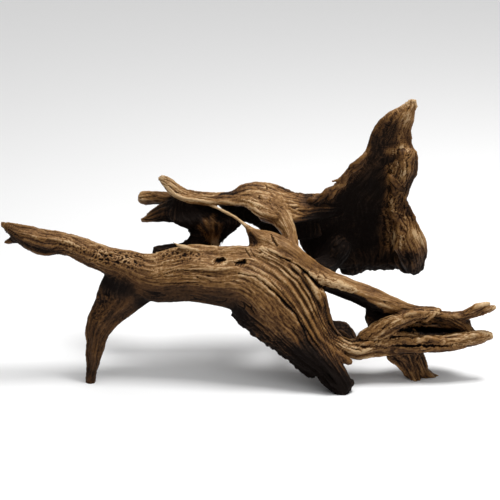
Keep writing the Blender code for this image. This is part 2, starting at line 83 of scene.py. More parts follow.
def shown(points):
    """Where world points show in the view: two arrays, across and up, in millimetres."""
    offsets = points - np.array(EYE)
    magnify = offsets @ np.array(SIGHT) / VIEW_DISTANCE
    across = offsets[:, 0] / magnify + VIEW_MIDDLE[0]
    up = offsets @ np.array(VIEW_UP) / magnify + VIEW_MIDDLE[1]
    return across / MM, up / MM


def new_object(name, data):
    made = bpy.data.objects.new(name, data)
    bpy.context.scene.collection.objects.link(made)
    return made


camera = new_object("Camera", bpy.data.cameras.new("Camera"))
camera.data.lens = camera.data.sensor_width * VIEW_DISTANCE / VIEW_WIDTH
camera.location = EYE
camera.rotation_euler = SIGHT.to_track_quat("-Z", "Y").to_euler()
bpy.context.scene.camera = camera
bpy.context.scene.view_settings.view_transform = "Standard"

# The floor and the light. A white matt floor, a soft lamp over the wood and a little to the right, a wide
# one high above it, and a dim white room, which the camera sees as plain white.
FLOOR_RADIUS = 4.3
FLOOR_POINTS = 96
FLOOR_FINISH = {"Base Color": (0.86, 0.86, 0.86, 1), "Roughness": 0.9, "Specular IOR Level": 0}
ROOM_LIGHT = 0.05
LAMPS = {
    "Overhead": ((0.40, -0.05, 1.25), 0.35, 13.5),
    "Ceiling": ((0.2, 0.6, 4.6), 9, 320),
}


def fill_node(tree, node, sockets):
    """Gives sockets of a node their values, or links them to the sockets of other nodes."""
    for socket, value in dict(sockets).items():
        if isinstance(value, bpy.types.NodeSocket):
            tree.links.new(value, node.inputs[socket])
        else:
            node.inputs[socket].default_value = value


def add_node(tree, kind, sockets=(), output=0, **settings):
    """Adds a node to a tree, makes its settings, fills its sockets, and gives one of its outputs."""
    node = tree.nodes.new(kind)
    for name, value in settings.items():
        setattr(node, name, value)
    fill_node(tree, node, sockets)
    return node.outputs[output]


bpy.ops.mesh.primitive_circle_add(vertices=FLOOR_POINTS, radius=FLOOR_RADIUS, fill_type="NGON")
floor = bpy.context.object
floor.name = "Floor"
floor_paint = bpy.data.materials.new("Floor")
floor_paint.use_nodes = True
fill_node(floor_paint.node_tree, floor_paint.node_tree.nodes["Principled BSDF"], FLOOR_FINISH)
floor.data.materials.append(floor_paint)

for name, (place, size, power) in LAMPS.items():
    lamp = new_object(name, bpy.data.lights.new(name, "AREA"))
    lamp.data.size = size
    lamp.data.energy = power
    lamp.location = place

room = bpy.data.worlds.new("Room")
room.use_nodes = True
tree = room.node_tree
seen_itself = add_node(tree, "ShaderNodeLightPath", output="Is Camera Ray")
strength = add_node(tree, "ShaderNodeMapRange", {"Value": seen_itself, "To Min": ROOM_LIGHT, "To Max": 1})
fill_node(tree, tree.nodes["Background"], {"Color": (1, 1, 1, 1), "Strength": strength})
bpy.context.scene.world = room

# Limbs. Each is a row of stations along its middle: (across, up, back, width, depth, lean, bow). width and
# depth are half thicknesses, square to the limb: width as the view shows it, depth away from it. lean turns
# the section, in degrees, and bow hollows it towards the front. tones say how bare the wood is at even steps
# along it, from 0 or less, black with peat and with painted shade, to 1, pale and bare, and relief how deep
# its figure is. Sections of a level limb lie level in the view.
GNARL_REACH = (5, 11)
GNARL_THICKNESS = (1.5, 2.8)
GNARL_TAPER = 0.6
GNARL_ARCH = 2.5

limbs = {}
grown_in = []
grooves = []
patches = []
# Where the wood is sawn: a point, the way the cut faces (right, up and away in the view), and its reach.
forks = []
# A point inside each piece, and its finish.
pieces = {}


def limb(name, tones, stations, level=False, relief=1):
    limbs[name] = (tones, relief, level, stations)


def gnarls(name, amount, line, spread, turns, tones):
    """Short arched strands, grown into the wood at random near a line of (across, up, back)."""
    chance = random.Random(name)
    for number in range(amount):
        whole, part = divmod((number + chance.random()) / amount * (len(line) - 1), 1)
        start, end = line[int(whole)], line[int(whole) + 1]
        across, up, back = [a + (b - a) * part for a, b in zip(start, end)]
        across += chance.uniform(-spread, spread)
        up += chance.uniform(-spread, spread)
        turn = chance.uniform(*turns)
        reach = chance.uniform(*GNARL_REACH)
        run, rise = reach * math.sin(turn), reach * math.cos(turn)
        thick = chance.uniform(*GNARL_THICKNESS)
        grown_in.append(f"{name}_{number}")
        limb(grown_in[-1], (chance.uniform(*tones), sum(tones) / 2), [
            (across + run * way, up + rise * way, back + GNARL_ARCH * abs(way),
             thick * (GNARL_TAPER if way else 1), thick)
            for way in (-1, 0, 1)
        ])


# Grooves: how steep their sides are, and how dark they are painted for a millimetre of their depth, as
# painted shade.
CRACK = (1.3, 0.20)
HOLE = (1.8, 0.11)
FLUTE = (2, 0.05)


def groove(kind, limb_group, *rows):
    """Grooves in the front of some limbs: points of the view, how far they open there, how deep they are."""
    grooves.extend((limb_group, row, *kind) for row in rows)


def patch(kind, amount, radius, line, *limb_group):
    """Changes the tone, relief, pits or loose fibres near a line of the view, on some limbs or on all."""
    patches.append((kind, amount, radius, line, limb_group))


# The trunk: an arched main root, bare and fluted on top and painted dark below as painted shade, which runs
# down into the front foot. Old drying cracks follow its grain, two beetle holes show in its top, and its
# lower edge is rotten.
limb("trunk", (0.60, 0.60, 0.64, 0.66, 0.60, 0.54, 0.36, 0.08), [
    (108, 132, 44, 12, 12), (122, 128, 45, 15, 13), (140, 119.3, 46, 21, 16),
    (158, 115, 47, 24, 19), (190, 119.7, 48, 27.8, 22), (218, 116.7, 47, 28.6, 24),
    (246, 113, 45, 33.5, 26), (272, 95, 38, 35, 25), (294, 72, 30, 34, 21),
    (307, 52, 22, 25, 17), (317.5, 38, 15, 18.5, 14), (328.5, 26, 10, 13, 11.5),
    (337.5, 14, 5, 11.6, 10.5), (342, 8, 3, 9.5, 9),
])
limb("heel", (-0.2, -0.3), [(341, 9, 3, 8, 7.5), (341, 3, 2, 7, 7), (341, -4, 0, 6, 6)])
limb("heel_edge", (-0.3, -0.2), [(337.5, 1.5, 2, 3.2, 6), (345, 6, 3, 3.6, 7.5), (351, 10.5, 4.5, 3, 6)])
limb("trunk_skirt", (-0.25, -0.35), [
    (236, 79, 37, 4, 7), (244, 73, 34, 5.5, 7), (254, 66, 32, 6.5, 6), (264, 57.5, 30, 5.6, 5),
    (276, 50.5, 27, 7, 5), (286, 42.5, 25, 6, 4.5), (296, 36, 22, 7, 4.5), (303, 28.5, 20, 6, 4),
    (309, 22.5, 18, 4.6, 4), (312.5, 19.5, 17, 3.4, 3),
], relief=1.3)
for spot, (across, up) in enumerate([(240, 71), (252, 61), (265, 51), (279, 42), (290, 34), (302, 23)]):
    drop = spot % 2
    limb(f"skirt_tooth_{spot}", (-0.3, -0.2), [
        (across + 9, up + 9, 31 - 2 * spot, 8, 4), (across + 4, up + 4, 30 - 2 * spot, 7, 3.5),
        (across + 2, up + 1 - 2 * drop, 29 - 2 * spot, 4, 3),
    ])
limb("heel_splinter", (0.45, 0.4), [
    (328, 46, 17, 6, 6), (337, 38.5, 15, 4.6, 5), (343, 35, 14, 3.8, 4), (348.5, 31.5, 13.5, 3.2, 3.2),
])
limb("trunk_splinter", (0.9, 0.7), [
    (173, 151, 46, 0.8, 1.1), (178, 147.8, 46, 1.5, 2), (188, 144.5, 46, 2.4, 3), (202, 141, 46, 3, 4),
])

TRUNK_FRONT = ("trunk", "lower_branch", "branch", "trunk_skirt", "heel_splinter")
groove(
    CRACK, TRUNK_FRONT,
    ((264, 145, 0.9, 1.5), (280, 136, 1.3, 3), (290, 131, 1.5, 4), (300, 125, 2, 5), (308, 118, 2.8, 7),
     (315, 111, 3.4, 8), (325, 101, 2.6, 6), (330, 98, 1.2, 3)),
    ((238, 119.5, 0.9, 1.4), (256, 116, 1.5, 3.4), (268, 107.5, 2, 4.6), (284, 92, 2.3, 5.2),
     (296, 78, 2, 4.6), (303, 64, 1.6, 3.4), (308, 52, 1.6, 3), (316, 40, 1, 1.5)),
    ((286, 134, 0.9, 1), (299, 118, 1.2, 2), (309, 103, 1.3, 2.4), (316, 87, 1.3, 2.4), (322, 70, 1.2, 2.2),
     (332, 55, 1.2, 2), (346, 46, 1, 1.6), (362, 42, 0.9, 1)),
    ((160, 109, 0.7, 0.8), (180, 110, 0.9, 1.2), (200, 111, 0.7, 0.8)),
    ((245, 144, 0.7, 0.8), (251, 135, 0.8, 1)),
    ((249, 145, 0.7, 0.8), (256, 135, 0.8, 1)),
    ((271, 158, 1.2, 1.6), (273.5, 152, 2, 3.4), (277, 147, 1.3, 2)),
)
groove(
    HOLE, TRUNK_FRONT,
    ((216, 131, 3.2, 3.6), (222, 131.8, 4.2, 6)),
    ((237, 129.5, 2.6, 3.6), (243.5, 130.6, 3.6, 5.4)),
)
# Flutes fan out between two edges of the trunk, each a share of the way across, and a share of it wide.
FLUTES_LEFT = ((244, 124), (262, 114), (278, 99), (291, 83), (302, 67), (311, 51), (322, 36))
FLUTES_RIGHT = ((270, 143), (288, 134), (304, 120), (316, 102), (323, 83), (331, 65), (350, 51))
FLUTE_DEPTHS = (0.8, 1.6, 2.2, 2.4, 2.4, 2, 0.8)
for share, opening in ((0.10, 0.07), (0.28, 0.11), (0.52, 0.08), (0.67, 0.06), (0.88, 0.10)):
    row = []
    for left, right, depth in zip(FLUTES_LEFT, FLUTES_RIGHT, FLUTE_DEPTHS):
        across, up = [a + (b - a) * share for a, b in zip(left, right)]
        row.append((across, up, opening * math.dist(left, right), depth))
    groove(FLUTE, TRUNK_FRONT, row)
groove(
    FLUTE, ("lower_branch", "trunk", "heel_splinter", "jaw"),
    ((319, 88, 2.2, 1.2), (324, 72, 2.4, 2.2), (334, 56, 2.2, 2.4), (348, 48, 2, 2.2), (366, 46, 2.2, 1.8),
     (386, 46, 2, 0.8)),
    ((324, 86, 2, 1.2), (328, 70, 2.2, 2.2), (338, 58, 2, 2.2), (352, 52, 2, 2), (372, 53, 2.4, 2),
     (396, 56, 2.2, 1.6), (416, 54, 1.6, 0.8)),
    ((316, 76, 2.4, 1.2), (322, 60, 2.4, 2.2), (332, 48, 2.2, 2.2), (345, 41, 1.8, 1)),
)
# Painted shade: the trunk is painted darker along its underside and lower edge.
patch("tone", -0.42, 24, ((152, 92), (190, 96), (222, 91), (240, 80)), "trunk", "leg")
patch("tone", -0.40, 17, ((240, 76), (262, 58), (290, 38), (310, 22), (336, 4)), "trunk", "trunk_skirt")
patch("tone", -0.45, 17, ((302, 42), (320, 28), (338, 8)), "trunk", "heel_splinter")
patch("tone", 0.16, 12, ((262, 148), (300, 103), (330, 50), (365, 40)))
patch("relief", -0.7, 26, ((140, 98), (190, 96), (230, 90)), "trunk", "leg")
# Painted shade along the crack in the shoulder.
patch("tone", -0.35, 6, ((302, 66), (307, 53), (315, 41)), "trunk")
patch("relief", -0.5, 24, ((280, 122), (300, 100), (318, 70), (326, 58)))
patch("relief", 1.3, 10, ((244, 70), (264, 54), (286, 38), (312, 16)), "trunk_skirt", "trunk")
patch("relief", 1.6, 12, ((318, 20), (336, 6)), "trunk", "heel")
patch("pitted", 0.7, 12, ((166, 139), (196, 139)), "trunk")
pieces["trunk"] = ((218, 117, 47), "bare_wood")

# The left leg, a root that props the trunk on the left. Its wood is dark with peat and matt. It leaves the
# trunk in a recess painted dark as painted shade, and tapers to a tip, worn level, on the ground.
limb("leg", (0.28, 0.30, 0.34, 0.36, 0.33, 0.28, 0.30), [
    (129, 123, 46, 22, 13), (126, 112, 45, 25, 14), (124, 101, 44, 27.5, 14), (124, 94, 43, 29, 13),
    (117, 86, 42, 25.5, 12.5), (112, 81, 41, 22, 12), (103.7, 71, 39, 17, 11), (98.7, 60, 37, 12.8, 10),
    (97, 53, 35, 9.8, 9), (95.3, 45, 33.5, 9, 8), (94, 39, 32, 8.2, 7.5), (93.5, 30, 30, 6.5, 6),
    (91.3, 18, 28, 4.8, 5), (90.8, 9, 26.5, 4.6, 4.6), (90.6, 2, 26, 4.4, 4.4),
], level=True, relief=0.6)
# Painted shade in the recess where the leg leaves the trunk.
patch("tone", -0.42, 14, ((102, 116), (112, 107), (127, 105)), "leg", "trunk", "arm")
patch("pitted", 0.3, 14, ((104, 90), (98, 72)), "leg")
forks.append(((127, 101, 44), (0.372, 0.928, 0), 18))
pieces["left_leg"] = ((95, 43, 33), "stained_wood")

# The left arm, a round root that ran on from the trunk and was broken off long ago. Its bare wood is pitted
# on top near the trunk, and its end is left in two teeth.
limb("arm", (0.44, 0.50, 0.52, 0.52, 0.54, 0.58), [
    (1.8, 169.3, 36, 1.6, 2), (10, 165, 37, 5.4, 5), (20, 159.5, 38, 9, 9), (32, 154.5, 39, 11.4, 11),
    (46, 150.5, 40, 12.4, 11.5), (58, 150, 41, 10.4, 10.5), (70, 147.7, 42, 10, 10.5),
    (82, 142.5, 43, 11.2, 11), (95, 137, 44, 12, 11.5), (110, 132, 45, 12.6, 12), (125, 127.5, 46, 14.5, 13),
])
limb("arm_tooth", (0.25, 0.4), [
    (6, 150.8, 37, 1.4, 1.6), (12, 152.3, 37.5, 2.7, 2.8), (20, 154, 38, 4, 4.5), (30, 154, 39, 6, 6),
])
patch("pitted", 0.5, 9, ((62, 150), (84, 142)), "arm")
patch("pitted", 1.1, 12, ((98, 138), (136, 131)), "arm", "trunk")
# Painted light and shade: the top of the arm is painted paler and its underside darker.
patch("tone", 0.14, 8, ((60, 154), (96, 145), (130, 134)), "arm", "trunk")
patch("tone", -0.3, 9, ((8, 158), (22, 150), (52, 140), (92, 124)), "arm", "arm_tooth")
forks.append(((109.5, 137, 45), (0.955, -0.296, 0), 14))
pieces["left_arm"] = ((46, 150.5, 40), "bare_wood")

# The branch leaves the trunk at a scarred knot and runs down to the claw, smooth and golden on top. The wood
# under it has rotted away, which leaves a torn ledge above a gap. The ledge is painted pale as painted
# highlight, and the gap and the underside of the knot are painted black as painted shade.
limb("branch", (0.68, 0.66, 0.64, 0.62, 0.64, 0.64, 0.58, 0.5), [
    (249, 164, 62, 3.2, 4), (257, 156.5, 61, 7, 8), (270, 150, 59, 11, 12), (286, 142.5, 56, 10.5, 12),
    (301, 132, 53, 8.5, 11), (315, 121, 51, 9, 10.5), (330, 111.5, 49, 10.5, 11),
    (350, 103.5, 46, 10.3, 11.5), (368, 96, 43, 11, 11), (385, 90.3, 41, 8.6, 10), (400, 86, 40, 6.5, 8),
    (415, 83.5, 39, 4, 6), (428, 83.3, 39, 2.6, 4), (439, 83.5, 39, 1.1, 2),
], relief=0.6)
limb("knot_strut", (0.3, 0.3), [
    (249, 163, 61, 3, 3.5), (252.5, 155, 60, 4.5, 5), (257, 148, 58, 7, 7), (263, 141, 54, 9, 8),
])
# The ledge's pale tones are a painted highlight.
limb("torn_ledge", (0.75, 0.95, 0.90, 0.70), [
    (310, 120, 41, 1.2, 2), (317, 117, 39, 2.4, 3), (325, 112.3, 38, 3, 3), (334, 109, 36.5, 2.8, 3),
    (343, 106.6, 35.5, 2.2, 2.6), (352, 103.5, 34.5, 1.2, 2),
], relief=2.4)
gnarls(
    "ledge_gnarl", 11, ((314, 118, 38), (325, 112, 36), (336, 108.5, 34.5), (350, 104.5, 33.5)),
    2, (1.5, 2.3), (0.3, 1.3),
)
groove(
    CRACK, ("branch", "web"),
    ((322, 105, 2, 2), (332, 102, 4, 5), (345, 99, 5, 6), (357, 94, 5, 6), (368, 88, 4.5, 5),
     (380, 82, 4, 4)),
)
patch("pitted", 0.9, 5, ((318, 116), (330, 110), (345, 105)), "torn_ledge", "branch")
# Painted shade: the gap under the branch is painted black.
patch(
    "tone", -0.95, 9, ((322, 106), (332, 102), (345, 98.5), (357, 93), (368, 86), (378, 80)),
    "branch", "web",
)
# Painted shade under the knot.
patch("tone", -0.3, 7, ((252, 158), (256, 152)), "knot_strut", "branch")
forks.append(((294, 122, 50), (0.57, 0.82, 0), 20))
pieces["branch"] = ((325, 113, 50), "bare_wood")

# The lower branch runs down the shoulder of the trunk in folds, like cloth, and swings out to the claw. A
# web, painted near black as painted shade, joins its end to the branch above.
limb("lower_branch", (0.62, 0.56, 0.52, 0.50, 0.50, 0.54, 0.56, 0.58), [
    (264, 141, 51, 9, 11), (282, 132, 48, 10, 12), (299, 118.5, 44, 10, 12), (312, 103, 38, 9.5, 11),
    (319.5, 87, 33, 8, 10), (322, 73, 30, 8.5, 10), (327.5, 60, 28, 8.5, 9.5), (336, 50.5, 27, 8, 9),
    (345, 46.7, 27, 7.3, 8.5), (356, 44, 28, 8.5, 9), (370, 49, 30, 12.5, 11), (385, 53, 33, 15, 12),
    (398, 55, 34, 14, 12), (410, 53, 33, 11, 10),
], relief=1.3)
# A sheet painted near black, as painted shade.
limb("web", (0.02, 0.02), [
    (371, 76.5, 43, 14.5, 5, 0, 3), (380, 77.5, 43.5, 13.5, 5, 0, 3), (392, 78.5, 43, 10.5, 5, 0, 2),
    (405, 80, 41, 7.5, 5, 0, 1), (418, 81.5, 39, 4.5, 4.5), (428, 82.5, 38, 2.5, 3.5),
])
patch("tone", -0.25, 7, ((326, 92), (330, 72), (338, 60)), "lower_branch", "trunk")
forks.append(((353, 46, 28), (0.95, 0.3, 0), 12))
pieces["lower_branch"] = ((370, 50, 30), "bare_wood")

# The claw, where both branches grow together again: a ridge and a jaw of gnarled bare wood on either side of
# a hollow painted dark as painted shade. The roots that ran on from it are broken off in two prongs, pale at
# their edges.
gnarls(
    "ridge_gnarl", 12, ((368, 57, 25), (382, 62, 23), (396, 70, 22), (412, 76, 24), (428, 80, 29)),
    4, (0.8, 1.5), (0.25, 0.8),
)
gnarls(
    "jaw_gnarl", 16, ((376, 50, 24), (400, 50, 22), (425, 49, 23), (450, 51, 25), (474, 55, 27)),
    4, (1.2, 1.9), (0.25, 0.8),
)
groove(
    CRACK, (),
    ((400, 63.5, 1.5, 2), (410, 63.5, 3.4, 6), (426, 62.5, 4.4, 7), (440, 61.5, 3, 5), (450, 61, 1.5, 2)),
)
# Painted shade in the hollow.
patch("tone", -0.3, 6, ((400, 63.5), (422, 62.5), (442, 61)))
gnarls(
    "wall_gnarl", 10, ((408, 70, 41), (430, 71, 42), (452, 70, 40), (462, 66, 39)), 4, (1.1, 2), (0.2, 0.6),
)
limb("claw_ridge", (0.54, 0.56, 0.52, 0.48), [
    (366, 55, 31, 7, 8), (378, 60.5, 30, 8.5, 9), (390, 67.5, 29, 8, 9), (402, 72.5, 29, 6.5, 8),
    (414, 76.5, 30, 5, 7), (426, 79.8, 32, 3.4, 5), (438, 81.3, 35, 1.6, 3),
], relief=1.8)
limb("upper_prong", (0.26, 0.36, 0.44, 0.52), [
    (424, 80.5, 37, 2.6, 4), (440, 78.2, 38, 3.6, 5), (452, 76.5, 38, 4.6, 5.5), (463, 76.6, 37, 5, 5.6),
    (473, 79.4, 36, 4.2, 5), (482, 82, 35, 3.8, 4.6), (489, 83.6, 34, 3, 3.8), (494.5, 84.6, 34, 1.6, 2.2),
], relief=1.5)
limb("prong_splinter", (0.5, 0.7), [
    (466, 80, 35, 3, 4), (474, 84.5, 34.5, 2.6, 3), (481, 87.4, 34, 2, 2.4), (489, 89.2, 34, 0.9, 1.2),
])
limb("prong_bridge", (0.62, 0.56), [
    (448, 77, 37, 3.5, 4.5), (456, 73.5, 37, 4, 4.5), (463, 69.5, 38, 4, 5), (468, 65.5, 38, 3.8, 5),
    (471, 60, 37, 4, 5),
])
limb("jaw", (0.50, 0.52, 0.54, 0.56, 0.62), [
    (388, 49, 32, 9.5, 10), (402, 49, 30, 8.5, 10), (420, 48.8, 30, 6.8, 9), (440, 50, 31, 7, 9),
    (460, 52.3, 32, 7, 8), (475, 55, 33, 6.9, 7), (484, 56.5, 33, 5.2, 5.5), (489.5, 57.2, 33, 3, 3.4),
], relief=1.3)
limb("jaw_ledge", (0.5, 0.66, 0.5), [
    (388, 44.5, 27, 2.7, 4), (405, 44, 25, 3, 4), (425, 43.8, 25, 3, 4), (440, 44, 25, 3, 4),
    (455, 45, 26, 2.2, 3), (466, 46.5, 27, 0.9, 1.5),
])
limb("hollow_wall", (0.16, 0.24), [
    (394, 68, 43, 9, 6, 0, 2), (410, 67.5, 47, 13, 5.5, 0, 5), (430, 66.5, 48, 14, 5, 0, 7),
    (448, 66.5, 47, 13, 5, 0, 6), (460, 66, 44, 11, 5, 0, 3), (467, 65.5, 42, 9, 5),
])
groove(
    CRACK, ("jaw", "jaw_ledge", "lower_branch"),
    ((392, 47.5, 0.9, 1.4), (410, 47, 1.5, 3), (440, 47, 1.7, 3.4), (458, 48, 1.3, 2.4), (468, 48, 0.8, 1)),
    ((384, 57, 0.9, 1), (396, 56, 1.3, 2), (410, 54, 1.2, 2), (424, 53, 0.8, 1)),
)
patch("tone", 0.10, 3, ((366, 62), (397, 74), (420, 79), (438, 81)), "claw_ridge", "branch")
patch("tone", 0.18, 4, ((408, 62), (440, 57), (472, 61), (486, 60)), "jaw")
# Painted shade under the jaw's ledge.
patch("tone", -0.2, 6, ((392, 42), (425, 40), (470, 47)), "jaw", "jaw_ledge", "lower_branch")
patch("fibrous", 0.5, 7, ((450, 76), (464, 66), (470, 60)), "prong_bridge", "hollow_wall")
forks.append(((384, 92, 41), (1, 0, 0), 12))
forks.append(((370, 86, 44), (-0.22, 0.97, 0), 10))
pieces["claw"] = ((420, 49.5, 30), "bare_wood")

# The foot of the claw, a thin fin of fibrous stained wood that grows down from the jaw. It has split into
# two teeth, and stands on them.
limb("fin", (0.34, 0.36), [
    (404, 45, 35, 20.5, 6.5), (409, 36, 36, 16, 6), (413, 29, 36.5, 13.5, 5.5), (416, 22, 36.5, 12, 5),
], relief=1.2)
limb("front_tooth", (0.4, 0.55), [(412, 22, 35, 6.5, 5), (415, 15.5, 33.5, 5, 4.5), (417, 10, 32, 3.6, 3.6)])
limb("rear_tooth", (0.4, 0.6), [
    (421, 23, 38, 6, 4.5), (429, 18, 40, 4.6, 4.4), (437, 13.8, 41.5, 2.6, 2.8),
])
forks.append(((404, 39.5, 35), (0, 1, 0), 14))
pieces["claw_foot"] = ((408, 30, 36), "stained_wood")

# The plank behind: a broad golden root that thins to a curl on the left. A strap and a pale ribbon tie it
# to the knot, and below it a rotten curtain and an inner wall, painted dark as painted shade, close the
# space. Its lower front edge is painted pale as painted highlight, and the underside of its right end dark
# as painted shade.
limb("plank", (0.74, 0.74, 0.70, 0.68, 0.70, 0.68, 0.46, 0.16), [
    (161.5, 214.5, 100, 3, 3), (169, 208.7, 99, 7, 3.5, 50), (177, 202, 98, 9, 3.5, 55),
    (187, 197.8, 97, 10, 3.5, 60), (198, 195.5, 96, 9, 3.5, 60), (210, 194.5, 95, 9, 3.5, 60),
    (222, 194.5, 95, 9, 3.5, 60), (233, 195, 95, 11, 4, 55), (242, 197, 95, 14, 6, 48),
    (252, 197, 95, 18.5, 8, 45), (263, 193.5, 94, 23, 9, 45), (275, 189.5, 95, 24, 9, 45),
    (288, 186.7, 98, 20, 9, 40), (302, 185, 104, 16, 9, 30), (318, 186, 111, 13, 8, 20),
    (334, 187, 119, 8, 6, 10),
], relief=1.2)
limb("strap", (0.66, 0.68), [
    (270, 184, 89, 15, 8), (280, 175, 80, 10.5, 7), (287, 165, 72, 7.5, 6), (290, 157, 67, 6.2, 6),
    (292, 149, 61, 6.5, 7),
], relief=0.7)
limb("ribbon", (0.95, 0.95), [
    (184, 195.5, 93, 1.3, 2.5), (197, 192.5, 93, 1.3, 3), (210, 188, 90, 1.3, 3), (225, 181, 82, 1.2, 3),
    (237, 174.5, 73, 1.3, 3), (245, 168, 65, 1.9, 3), (251, 163, 61, 3, 4),
], relief=0.3)
limb("curtain", (-0.2, -0.1), [
    (192, 195, 100, 18, 5), (191, 188, 98, 21, 5), (195, 183, 95, 27, 5.5), (202, 176, 91, 33, 5.5),
    (208, 171, 88, 34, 6), (211, 167, 88, 29, 6.5), (211, 160, 90, 21, 7.5), (204.5, 153, 92, 19, 8),
    (198, 148, 93, 22, 8), (197, 141, 93, 22, 9), (201, 131, 93, 16, 9),
], level=True)
limb("inner_wall", (-0.2, -0.2), [
    (264, 190, 108, 49, 5), (268, 184, 107, 48, 5), (273, 178, 107, 43, 5), (275, 172.5, 107, 41, 5),
    (287, 168.5, 107, 33, 5), (292, 158, 107, 30, 5),
], level=True)
for tip in ((199, 167), (205, 174), (212, 177), (220, 168)):
    patch("tone", 0.62, 4.5, ((217, 147), tip), "curtain")
patch("fibrous", 2.4, 13, ((206, 176), (213, 162), (217, 150)), "curtain")
# Painted highlight along the plank's lower front edge.
patch("tone", 0.3, 4, ((166, 201), (180, 194), (194, 188), (214, 184)), "plank")
patch("tone", -0.3, 9, ((226, 184), (254, 170), (280, 164)), "plank", "curtain")
patch("tone", 0.7, 9, ((214, 198), (262, 200), (315, 194)), "inner_wall")
# Painted shade under the right end of the plank.
patch("tone", -0.8, 12, ((298, 168), (318, 173), (338, 178)), "plank")
forks.append(((288, 166, 75), (0.1, 0.7, 0.6), 10))
forks.append(((239, 173, 72), (0.8, -0.4, -0.6), 7))
forks.append(((306, 188, 102), (1, 0, 0), 18))
pieces["back_plank"] = ((263, 192.5, 94), "bare_wood")

# The stub on the left of the plank, the rest of a root that forked there into a blunt prong and a pointed
# one. Its wood is black with peat but for the worn tips.
limb("blunt_prong", (0.62, 0.36, 0.1), [
    (145, 195, 124, 6.2, 6.5), (156, 194.8, 120, 6.5, 7), (168, 193.5, 115, 7, 8),
    (182, 190, 109, 8, 8), (195, 186, 103, 8, 7),
])
limb("pointed_prong", (0.50, 0.05, -0.2), [
    (143, 173.6, 105, 1.8, 2.2), (150, 175, 104, 4.2, 5), (160, 179.3, 102, 7.4, 7),
    (172, 181.5, 101, 10, 8), (186, 180, 100, 11, 8), (198, 179, 98, 12, 8),
])
forks.append(((178, 189, 106), (0.85, -0.3, 0), 14))
pieces["forked_stub"] = ((155, 194.5, 120), "stained_wood")

# The root that hangs behind the trunk grows down from the curtain and turns to the left, where it is broken
# off. Its wood is black with peat all over.
limb("hanging_root", (0, -0.1), [
    (158.5, 141.5, 88, 6.2, 6.5), (166, 141.8, 89, 7, 7), (176, 141.5, 90, 8, 8), (190, 139, 92, 10, 9),
    (205, 136, 93, 11, 10),
])
limb("hanging_end", (-0.1, -0.1), [(206, 134, 93, 12, 9), (207, 120, 93, 9, 8)])
forks.append(((207, 155, 91), (0, 1, 0), 14))
pieces["hanging_root"] = ((190, 138, 92), "stained_wood")

# The stump, the rest of the tree's foot: a wall of wood black with peat and with painted shade, hollow
# towards the front. Its rim is gnarled and half bare, and two fibrous lumps have grown on its right edge.
limb("stump", (0.10, 0.02, -0.04, -0.02, 0.04, 0.10, 0.15), [
    (369, 129.5, 111, 54, 8, 0, 20), (367, 137, 110, 62, 9, 0, 24), (364, 146, 109, 65.5, 10, 0, 27),
    (362, 154, 108, 66, 10.5, 0, 29), (360, 166, 106, 61, 11, 0, 28), (358.5, 175, 105, 59, 11, 0, 27),
    (359, 187, 104, 51.5, 11, 0, 24), (361.5, 196, 105, 45.5, 11, 0, 21), (368.5, 205, 107, 40, 11, 0, 18),
    (376, 214, 108, 35.5, 11, 0, 15), (384, 225, 110, 31.5, 12, 0, 12), (388.5, 236, 111, 27.5, 12, 0, 9),
    (390, 246, 111, 23, 12, 0, 7),
], level=True, relief=0.45)
limb("left_lobe", (0, 0), [(351, 140, 133, 17, 8), (354, 126, 132, 15.5, 8)])
limb("right_lobe", (0.15, 0.12), [(408, 138, 124, 16, 10), (411, 128, 123, 12.5, 8)])
limb("upper_lump", (0.66, 0.44, 0.42, 0.40, 0.34), [
    (403, 241, 108, 4, 3), (406, 238, 108, 11, 8.5), (406.5, 230, 108, 11.3, 9.5),
    (404.5, 221, 108, 11.8, 9.5), (402, 210, 109, 9.5, 8), (400, 200, 110, 8, 7),
], relief=1.3)
limb("lower_lump", (0.40, 0.56, 0.68, 0.62, 0.30, 0.06), [
    (401, 188, 111, 7, 6), (404, 176, 110, 9, 7.5), (406.5, 164, 108, 12, 9.5), (408.5, 154, 107, 14.5, 11),
    (411, 145, 108, 14.5, 11.5), (413, 135, 110, 12, 11), (414, 127, 112, 9.5, 9),
], relief=1.1)
groove(
    CRACK, ("upper_lump", "stump", "horn"),
    ((391, 238, 0.8, 0.8), (397, 239.5, 1.2, 2.4), (404, 239.5, 1.3, 3), (411, 236.5, 1, 1.6)),
    ((398, 231, 0.8, 1.4), (403, 222, 1.2, 2.4), (400, 211, 0.8, 1.2)),
)
groove(CRACK, ("lower_lump", "stump"), ((391, 182, 0.9, 1.5), (395, 168, 1.3, 2.6), (392, 154, 1, 2)))
gnarls(
    "rim_gnarl", 16, ((312, 192, 98), (333, 204, 98), (346, 218, 97), (361, 232, 98)),
    3, (0.3, 1.3), (0.1, 0.5),
)
patch(
    "tone", 0.38, 16,
    ((313, 194), (323, 199), (332, 205), (340, 213), (347, 222), (355, 229), (362, 234)), "stump",
)
patch("tone", 0.30, 6, ((367, 240), (368, 244)), "stump", "horn")
patch("tone", -0.3, 8, ((401, 212), (404, 206)), "stump", "upper_lump")
# Painted highlight on the pale ledge at the top of the upper lump.
patch("tone", 0.42, 7, ((388, 242), (400, 244), (412, 241)), "upper_lump", "stump", "horn")
patch("pitted", 0.35, 9, ((401, 232), (402, 216)), "upper_lump", "stump")
patch("pitted", 0.45, 13, ((396, 172), (400, 150)), "lower_lump", "stump")
groove(
    FLUTE, ("lower_lump", "upper_lump", "stump"),
    ((388, 236, 2.4, 1), (391, 215, 3, 2), (389, 195, 3, 2), (385, 170, 3, 1.6), (384, 150, 2.4, 1)),
    ((406, 232, 2.2, 1), (407, 220, 2.2, 1.6), (404, 206, 2, 1)),
)
gnarls(
    "lump_gnarl", 34,
    ((402, 237, 101), (404, 221, 100), (400, 204, 105), (398, 186, 107), (402, 168, 101), (405, 150, 99),
     (408, 138, 101)),
    6.5, (-1, 0.5), (0.15, 0.75),
)
